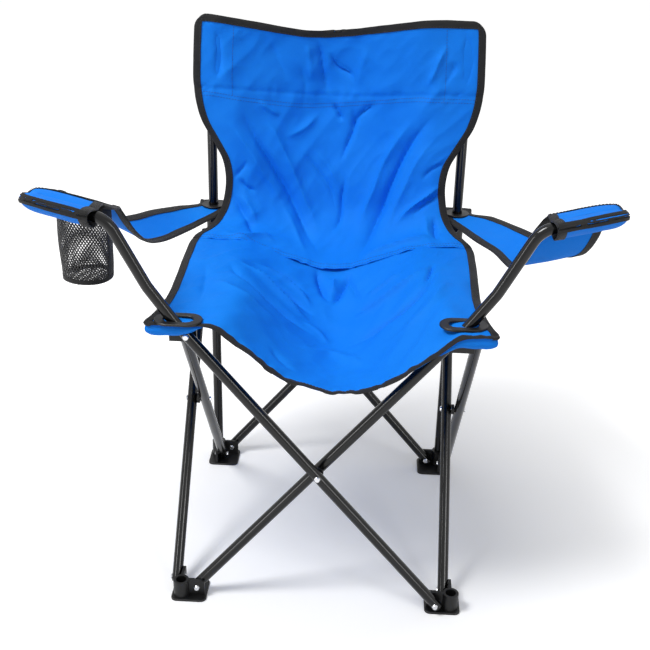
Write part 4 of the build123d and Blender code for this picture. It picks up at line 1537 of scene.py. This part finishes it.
@dataclass(frozen=True)
class ArmTip:
    """The outer run of an arm, which leans out from the arm's bend, in millimetres.

    The cup's panel starts at the rear edge of the left sleeve and falls to the back by its pitch.
    """

    side: Side
    lean: float = 76.0
    bend: Pair = (281.54, 612.0)
    panel_run: float = 60.0
    panel_step: float = 42.0
    panel_pitch: float = 20.0

    def carrier(self) -> str:
        """The leg whose tube is the arm, inner or outer."""
        return "outer" if self.side is Side.LEFT else "inner"

    def depth(self) -> float:
        """Depth of the arm's middle line."""
        return -216.3 if self.side is Side.LEFT else -195.7

    def along(self) -> Array:
        """Direction from the bend out to the tip."""
        lean = math.radians(self.lean)
        return np.array([self.side.value * math.sin(lean), 0.0, math.cos(lean)])

    def up(self) -> Array:
        """Direction square to the run, upwards."""
        lean = math.radians(self.lean)
        return np.array([-self.side.value * math.cos(lean), 0.0, math.sin(lean)])

    def at(self, run: float) -> Array:
        """The middle line's point at a distance from the bend."""
        bend = np.array([self.side.value * self.bend[0], self.depth(), self.bend[1]])
        return bend + run * self.along()

    def panel(self) -> tuple[Array, Array, Array]:
        """The plane of the cup's panel.

        Returns:
            A point on it, and its directions to the back and up.
        """
        pitch = math.radians(self.panel_pitch)
        up = unit(np.cross([0.0, math.cos(pitch), -math.sin(pitch)], self.along()))
        start = self.at(self.panel_run) + np.array([0.0, self.panel_step, 0.0])
        return start, np.cross(self.along(), up), up

    def fold(self) -> Fold:
        """How what hangs on the arm is meant to crumple: from front to back, towards the arm."""
        anchor = (self.side.value * 0.34, self.depth() * MM + SHIFT_Y, 0.62)
        return Fold((0.0, 1.0, 0.0), anchor, 0.3)


# the straps' stations on the right side: middle, half width and tilt, from the armrest to the post
STRAP_END = ((206.0, 206.0, 493.2, 24.5, 0.0), (206.0, 236.0, 493.2, 25.0, 0.0))
STRAPS: dict[Side, tuple[Station, ...]] = {
    Side.LEFT: (
        (338.0, -88.0, 595.5, 44.0, 14.0), (330.0, -66.0, 570.0, 42.0, 16.0),
        (320.0, -38.0, 545.0, 38.0, 22.0), (303.0, 8.0, 516.0, 33.0, 30.0),
        (285.0, 50.0, 505.0, 30.0, 33.0), (266.0, 100.0, 498.0, 29.0, 31.0),
        (242.0, 149.0, 493.0, 26.0, 24.0), *STRAP_END),
    Side.RIGHT: (
        (338.0, -153.0, 626.0, 46.0, 14.0), (327.0, -142.0, 598.0, 48.0, 13.0),
        (323.0, -122.0, 566.0, 48.0, 12.0), (318.0, -92.0, 536.0, 46.0, 11.0),
        (308.0, -50.0, 515.0, 42.0, 14.0), (297.0, 0.0, 507.0, 36.0, 20.0),
        (283.0, 42.0, 505.0, 32.0, 22.0), (259.0, 103.0, 499.0, 31.0, 19.0),
        (236.0, 160.0, 493.5, 27.0, 18.0), *STRAP_END),
}


@dataclass
class Armrest(Assembly):
    """An armrest: a sleeve over the arm's tip, a strap back to the post, on the left a cup's panel.

    rises are the heights of the sleeve's upper and lower face over the arm's middle line, hole is
    the place of the cup's hole on its panel, along the arm and back, and row_gap and row_lift are
    the place of the stitches on the sleeve's tape.
    """

    side: Side
    sleeve_start: float = 15.0
    rises: Pair = (9.6, 16.5)
    row_gap: float = 0.0058
    row_lift: float = 1.1 * TAPE_LIFT
    rim_lift: float = 1.2 * TAPE_LIFT
    hole: Pair = (-9.0, 45.0)
    slant: float = 0.42

    def build(self) -> None:
        """Makes the sleeve, the strap and, on the left, the panel."""
        arm = ArmTip(self.side)
        self.sleeve(arm)
        if self.side is Side.LEFT:
            self.panel(arm)
        self.back_strap()

    def sleeve(self, arm: ArmTip) -> None:
        """The sleeve: two faces that meet in a bound rim, with bound mouths.

        Args:
            arm: The arm that it covers.
        """
        s, word = self.side.value, self.side.word
        body, fold = f"leg_front_{arm.carrier()}", arm.fold()
        along, start = arm.along(), arm.at(self.sleeve_start)
        rim, inward = np.linspace(-1, 1, 130), np.linspace(0, 1, 30)
        faces, tapes, rows, edges = [], [], [], []
        for n, (sign, rise) in enumerate(zip((1, -1), self.rises)):
            up = tuple(sign * arm.up())
            face = SleeveFace(start=tuple(start), along=tuple(along), up=up, rise=rise,
                              ripple=0.0007, seed=51 + n + s, front=up)
            grid = face.at(*np.meshgrid(rim, inward))
            faces.append(weld(sheet_mesh(f"sleeve_face_{word}_{n}", *grid)))
            edges.append(face.inset(np.linspace(-1, 1, 150), 0.0, (0, 1), SLEEVE_GAPS))
            if sign > 0:
                rows.append(face.stitches(f"sleeve_row_{word}", np.linspace(-0.99, 0.99, 130), 0.0,
                                          (0, 1), self.row_gap, self.row_lift))
            for end in (-1.0, 1.0):
                tapes.append(face.tape(f"sleeve_mouth_{word}_{n}_{end}", end, inward, (-end, 0),
                                       71 + n))
        tapes.append(tape_mesh(f"sleeve_tape_{word}", *edges[0], self.rim_lift, 61 + s, edges[1]))
        cloth = self.hang(joined(f"arm_sleeve_cloth_{word}", faces), POLYESTER, body, fold)
        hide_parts(f"arm_sleeve_{word}")
        self.hang(joined(f"arm_sleeve_binding_{word}", tapes), BINDING, body, fold)
        self.hang(joined(f"arm_sleeve_stitches_{word}", rows), THREAD_BLACK, body, fold)

    def panel(self, arm: ArmTip) -> None:
        """The cup's panel behind the sleeve, with its bound hole and edge.

        Args:
            arm: The arm that it hangs on.
        """
        body, fold, across = f"leg_front_{arm.carrier()}", arm.fold(), arm.along()
        start, back, up = arm.panel()
        centre = start + self.hole[0] * across + self.hole[1] * back
        ring = HoledPanel(centre=tuple(centre), across=tuple(across), back=tuple(back),
                          ripple=0.0005, seed=83, front=tuple(up))
        turn, out = np.linspace(-1, 1, 97), np.linspace(0, 1, 14)
        made = sheet_mesh("cup_panel_cloth", *ring.at(*np.meshgrid(turn, out)))
        cloth = self.hang(weld(made), POLYESTER, body, fold)
        edges = (Edge(turn, 1.0, (0, -1), 84, False), Edge(turn, 0.0, (0, 1), 85, False))
        self.bind(ring, edges, "cup_panel_binding", "", body, fold)

    def back_strap(self) -> None:
        """The strap from the sleeve or panel back to the post, bound on both edges and its end."""
        s, word = self.side.value, self.side.word
        stations = tuple((s * x, y, z, w, s * tilt) for x, y, z, w, tilt in STRAPS[self.side])
        strap = Ribbon(stations=stations, ripple=0.0012, seed=91 + s, front=(-0.1 * s, -0.5, 0.9),
                       cup=0.003, slant=self.slant * s)
        half, long = strap.size()
        anchor, head = (row_frame(np.array(stations[n][:3])) for n in (-1, 0))
        fold = Fold(tuple(unit(head - anchor).tolist()), tuple(anchor.tolist()), 0.5)
        u, v = edge_columns(half, 26), np.linspace(0, 1, 120)
        body = f"armrest_{word}"
        cloth = self.hang(strap.cloth(f"arm_strap_cloth_{word}", u, v), POLYESTER, body, fold)
        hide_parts(f"arm_strap_{word}")
        rows, wide = np.linspace(0, 1, 130), np.linspace(-1, 1, 30)
        edges = (Edge(-1.0, rows, (1, 0), 95), Edge(1.0, rows, (-1, 0), 96),
                 Edge(wide, 1.0, (0, -1), 97, False))
        names = f"arm_strap_binding_{word}", f"arm_strap_stitches_{word}"
        self.bind(strap, edges, *names, body, fold)


@dataclass
class CupHolder(Assembly):
    """The mesh cup under the left armrest: a net of crossing strands with bands at rim and floor.

    Its sizes are in millimetres, but strand, the half thickness of a strand, is in metres. lean is
    the angle by which a strand goes round the cup on its way up, and belly the swell of the wall.
    Each band has its lowest and highest share of the cup's height.
    """

    arm: ArmTip = ArmTip(Side.LEFT)
    centre: Pair = (-334.73, -130.93)
    floor: float = 495.0
    half_top: float = 36.4
    half_floor: float = 33.0
    belly: float = 1.28
    rim_gap: float = 2.0
    strands: int = 50
    strand: float = 0.00078
    lean: float = 2.1
    floor_strands: int = 15
    rim_band: Pair = (0.87, 0.99)
    floor_band: Pair = (0.0, 0.055)

    def wall(self, turn: Array, high: Array) -> Array:
        """The cup's wall: a flared and rumpled cylinder whose top follows the tilted panel.

        Args:
            turn: Angle round the cup.
            high: Share of its height, from 0 at the floor to 1 at the rim.
        Returns:
            Points in the row frame.
        """
        turn, high = np.broadcast_arrays(np.asarray(turn, float), np.asarray(high, float))
        c, s = np.cos(turn), np.sin(turn)
        x, y = self.centre[0] + self.half_top * c, self.centre[1] + self.half_top * s
        start, _, up = self.arm.panel()
        top = start[2] - (up[0] * (x - start[0]) + up[1] * (y - start[1])) / up[2]
        r = self.half_floor + (self.half_top - self.half_floor) * high
        # an oval floor, three slow dents that turn as they go up, and the belly
        r = r + 1.6 * np.sin(2 * turn + 0.7) * (1 - high)
        r = r + 2.0 * np.sin(3 * turn + 9 * high) * high * (1 - high)
        r = r + self.belly * np.sin(np.pi * np.clip(high, 0, 1))
        sag = 1.2 * np.sin(2 * turn) * (1 - high)
        z = self.floor + (top - self.rim_gap - self.floor) * high + sag
        return row_frame(np.stack([self.centre[0] + r * c, self.centre[1] + r * s, z], -1))

    def outward(self, points: Array) -> Array:
        """Level directions out from the cup's middle line."""
        return unit((points - row_frame([*self.centre, 0.0])) * np.array([1.0, 1.0, 0.0]))

    def yarns(self, name: str, paths: Array) -> bpy.types.Object:
        """Thin four-sided strands along many paths at once.

        Args:
            name: Name of the piece.
            paths: Strands by stations by x, y, z.
        Returns:
            The strands as one mesh.
        """
        ahead = unit(np.gradient(paths, axis=1))
        # any direction that no strand runs along
        side = unit(np.cross(ahead, np.array([0.31, 0.17, 0.93])))
        over = np.cross(ahead, side)
        turn = np.linspace(0, 2 * math.pi, 4, endpoint=False)
        a, b = (np.cos(turn) * self.strand)[:, None], (np.sin(turn) * self.strand)[:, None]
        rings = paths[:, :, None] + side[:, :, None] * a + over[:, :, None] * b
        count, stations = paths.shape[:2]
        faces = quads(stations, len(turn), Lay.CLOSED)
        return put_mesh(name, rings, copies(faces, count, stations * len(turn)))

    def nets(self) -> Iterator[bpy.types.Object]:
        """The net's strands: two leans round the wall, and two ways across the sagging floor.

        Returns:
            One mesh for each set of strands.
        """
        high = np.linspace(0.0, 1.0, 40)[None]
        first = np.linspace(0, 2 * math.pi, self.strands, endpoint=False)[:, None]
        for n, way in enumerate((1, -1)):
            yield self.yarns(f"net_wall_{n}", self.wall(first + way * self.lean * high, high))
        lines, run = np.linspace(-0.94, 0.94, self.floor_strands)[:, None], np.linspace(-1, 1, 24)
        a, b = np.broadcast_arrays(lines, run[None] * np.sqrt(1 - lines**2))
        for n, angle in enumerate((math.pi / 4, -math.pi / 4)):
            c, s = math.cos(angle), math.sin(angle)
            x, y = a * c - b * s, a * s + b * c
            z = self.floor + 0.6 - 1.5 * (1 - x * x - y * y)
            flat = self.centre[0] + x * self.half_floor, self.centre[1] + y * self.half_floor
            yield self.yarns(f"net_floor_{n}", row_frame(np.stack([*flat, z], -1)))

    def bands(self) -> Iterator[bpy.types.Object]:
        """The bands round the rim and the floor, and the seam up the wall.

        Returns:
            One mesh for each.
        """
        turn = np.linspace(0, 2 * math.pi, 73)
        for name, ends in (("cup_rim", self.rim_band), ("cup_floor_band", self.floor_band)):
            face = np.stack([self.wall(turn, h) for h in np.linspace(*ends, 6)])
            out = self.outward(face)
            yield weld(sheet_mesh(name, face + out * 0.0009, out, 0.0016))
        up = np.linspace(0.02, 0.95, 30)
        seam = np.stack([self.wall(d - 0.3, up) for d in np.linspace(-0.07, 0.07, 5)])
        out = self.outward(seam)
        yield sheet_mesh("cup_seam", seam + out * 0.0007, out, 0.0012)

    def build(self) -> None:
        """Makes the net and its bands."""
        body, fold = f"leg_front_{self.arm.carrier()}", self.arm.fold()
        net = self.hang(joined("cup_net", list(self.nets())), MESH_YARN, body, fold)
        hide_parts("cup_holder")
        self.hang(joined("cup_bands", list(self.bands())), BINDING, body, fold)


class Hardware(Assembly):
    """The frame's rigid pieces, which keep their own shapes."""

    # the starts of the nodes' names, of which the longest that fits counts
    FINISHES: dict[Finish, tuple[str, ...]] = {
        POWDER_COAT: ("tube_", "back_post"),
        PLATED: ("foot_rivets", "hub_rivets", "cross_rivet"),
        MOULDED: ("foot_", "hub_", "cross_spacer", "post_plug", "arm_plug", "seat_eyelet",
                  "strap_eyelet"),
    }

    def build(self, nodes: dict[str, bpy.types.Object]) -> None:
        """Dresses each rigid node in the finish of its kind.

        Args:
            nodes: The frame's nodes by name.
        """
        order = [(start, finish) for finish, starts in self.FINISHES.items() for start in starts]
        order.sort(key=lambda pair: -len(pair[0]))
        for name, node in nodes.items():
            fits = [finish for start, finish in order if name.startswith(start)]
            if fits:
                self.wardrobe.dress(node, fits[0])


# Stage


def ray_share(tree: bpy.types.NodeTree, kinds: Sequence[str]) -> bpy.types.NodeSocket:
    """1 for light rays of the given kinds and 0 for others.

    Args:
        tree: The node tree.
        kinds: Names of Light Path's outputs, two or more.
    Returns:
        The socket that has the value.
    """
    seen = add_node(tree, "ShaderNodeLightPath")
    found = seen.outputs[kinds[0]]
    for kind in kinds[1:]:
        found = add_node(tree, "ShaderNodeMath", {0: found, 1: seen.outputs[kind]},
                         operation="MAXIMUM").outputs[0]
    return found


def placed(name: str, data: bpy.types.ID, axes: Sequence[Array], place: Point) -> bpy.types.Object:
    """Puts a camera or lamp into the scene.

    Args:
        name: Name of the object.
        data: The camera or lamp.
        axes: Directions of its own X, Y and Z.
        place: Where it stands.
    Returns:
        The object.
    """
    thing = bpy.data.objects.new(name, data)
    bpy.context.scene.collection.objects.link(thing)
    matrix = np.eye(4)
    matrix[:3] = np.stack([*axes, np.array(place)], -1)
    thing.matrix_world = Matrix(matrix.tolist())
    return thing


@dataclass(frozen=True)
class Lamp:
    """A soft box that faces a point: square, or a strip if it has a height of its own."""

    name: str
    place: Point
    target: Point
    size: float
    power: float
    tall: float | None = None

    def light(self) -> None:
        """Puts the lamp into the scene."""
        data = bpy.data.lights.new(self.name, "AREA")
        data.shape = "RECTANGLE"
        data.size, data.size_y = self.size, self.tall or self.size
        data.energy = self.power
        back = unit(np.array(self.place) - np.array(self.target))
        side = unit(np.cross(UP, back))
        thing = placed(self.name, data, (side, np.cross(back, side), back), self.place)
        # a strip is there for the long highlights on the tubes, and lights nothing else
        thing.visible_diffuse = self.tall is None


@dataclass
class Studio:
    """The floor, the soft lights, the white surround and the camera.

    The camera's angles are in radians. lift gives the floor's own light for the camera: its value
    near the chair and away from it, and lift_at the distances for both. glow is the surround's
    strength as a light.
    """

    eye: Point = (0.0587, -1.513 + SHIFT_Y, 1.0765)
    yaw: float = 0.041
    pitch: float = 0.4348
    roll: float = 0.0244
    focal_px: float = 1067.3
    frame_px: float = 650.0
    floor_size: float = 14.0
    floor_z: float = -0.0004
    lift: Pair = (0.14, 0.6)
    lift_at: Pair = (0.28, 0.85)
    glow: float = 0.43
    lamps: tuple[Lamp, ...] = (
        Lamp("key", (-1.35, -0.85, 2.55), (0.0, 0.1, 0.5), 0.8, 55.0),
        Lamp("fill", (1.6, -1.9, 1.9), (0.0, 0.0, 0.4), 0.6, 8.0),
        Lamp("strip_left", (-1.5, -1.2, 0.75), (0.0, 0.0, 0.4), 0.22, 13.0, 1.5),
        Lamp("strip_right", (1.5, -1.3, 0.75), (0.0, 0.0, 0.4), 0.22, 11.0, 1.5),
        Lamp("top", (0.2, 0.6, 2.8), (0.0, 0.0, 0.4), 2.2, 6.0),
    )

    def build(self) -> None:
        """Sets the whole stage."""
        bpy.context.scene.view_settings.view_transform = "Standard"
        self.camera()
        self.floor()
        self.surround()
        for lamp in self.lamps:
            lamp.light()

    def camera(self) -> None:
        """Sets the camera at the photograph's angle, from its yaw, pitch and roll."""
        side = np.array([math.cos(self.yaw), math.sin(self.yaw), 0.0])
        away = np.array([-math.sin(self.yaw), math.cos(self.yaw), 0.0])
        look = math.cos(self.pitch) * away - math.sin(self.pitch) * UP
        up = math.sin(self.pitch) * away + math.cos(self.pitch) * UP
        right = math.cos(self.roll) * side + math.sin(self.roll) * up
        over = -math.sin(self.roll) * side + math.cos(self.roll) * up
        data = bpy.data.cameras.new("camera")
        data.sensor_width = 36.0
        data.lens = self.focal_px / self.frame_px * data.sensor_width
        data.clip_start, data.clip_end = 0.05, 60.0
        bpy.context.scene.camera = placed("camera", data, (right, over, -look), self.eye)

    def floor(self) -> None:
        """A wide white floor that keeps the chair's shadow: diffuse paper, lifted for the camera.

        The lamps light the paper round the chair, and away from it the lift takes over, so that it
        stays white.
        """
        turns = np.array([[-1.0, -1.0], [1.0, -1.0], [1.0, 1.0], [-1.0, 1.0]])
        ends = np.column_stack([self.floor_size * turns, np.full(4, self.floor_z)])
        thing = put_mesh("floor", ends, np.array([[0, 1, 2, 3]]))
        paper = bpy.data.materials.new("white_paper")
        paper.use_nodes = True
        tree = paper.node_tree
        shader = tree.nodes["Principled BSDF"]
        shader.inputs["Base Color"].default_value = linear("#F6F6F6")
        shader.inputs["Roughness"].default_value = 0.9
        shader.inputs["Specular IOR Level"].default_value = 0.0
        shader.inputs["Emission Color"].default_value = (1, 1, 1, 1)
        seen = ray_share(tree, ("Is Camera Ray", "Is Glossy Ray"))
        place = add_node(tree, "ShaderNodeTexCoord").outputs["Object"]
        away = add_node(tree, "ShaderNodeVectorMath", {0: place}, operation="LENGTH")
        lift = add_node(tree, "ShaderNodeMapRange", dict(enumerate(
            (away.outputs["Value"], *self.lift_at, *self.lift))))
        glow = add_node(tree, "ShaderNodeMath", {0: seen, 1: lift.outputs[0]},
                        operation="MULTIPLY")
        tree.links.new(glow.outputs[0], shader.inputs["Emission Strength"])
        thing.data.materials.append(paper)

    def surround(self) -> None:
        """A white surround: dim as a light, white to the eye and in reflections."""
        world = bpy.data.worlds.new("surround")
        bpy.context.scene.world = world
        world.use_nodes = True
        tree = world.node_tree
        back = tree.nodes["Background"]
        back.inputs["Color"].default_value = (1, 1, 1, 1)
        seen = ray_share(tree, ("Is Camera Ray", "Is Glossy Ray", "Is Transmission Ray"))
        white = add_node(tree, "ShaderNodeMath", {0: seen, 1: 1 - self.glow, 2: self.glow},
                         operation="MULTIPLY_ADD")
        tree.links.new(white.outputs[0], back.inputs["Strength"])


def main() -> None:
    """Builds the chair's looks on its frame and sets the stage."""
    logging.basicConfig(level=logging.INFO, format="%(name)s %(message)s")
    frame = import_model()
    wardrobe = Wardrobe()
    Studio().build()
    Hardware(wardrobe).build(frame["nodes"])
    Back(wardrobe).build()
    Seat(wardrobe).build()
    Tabs(wardrobe).build()
    for side in Side:
        Armrest(wardrobe, side).build()
    CupHolder(wardrobe).build()
    bpy.context.view_layer.update()


if __name__ == "__main__":
    main()
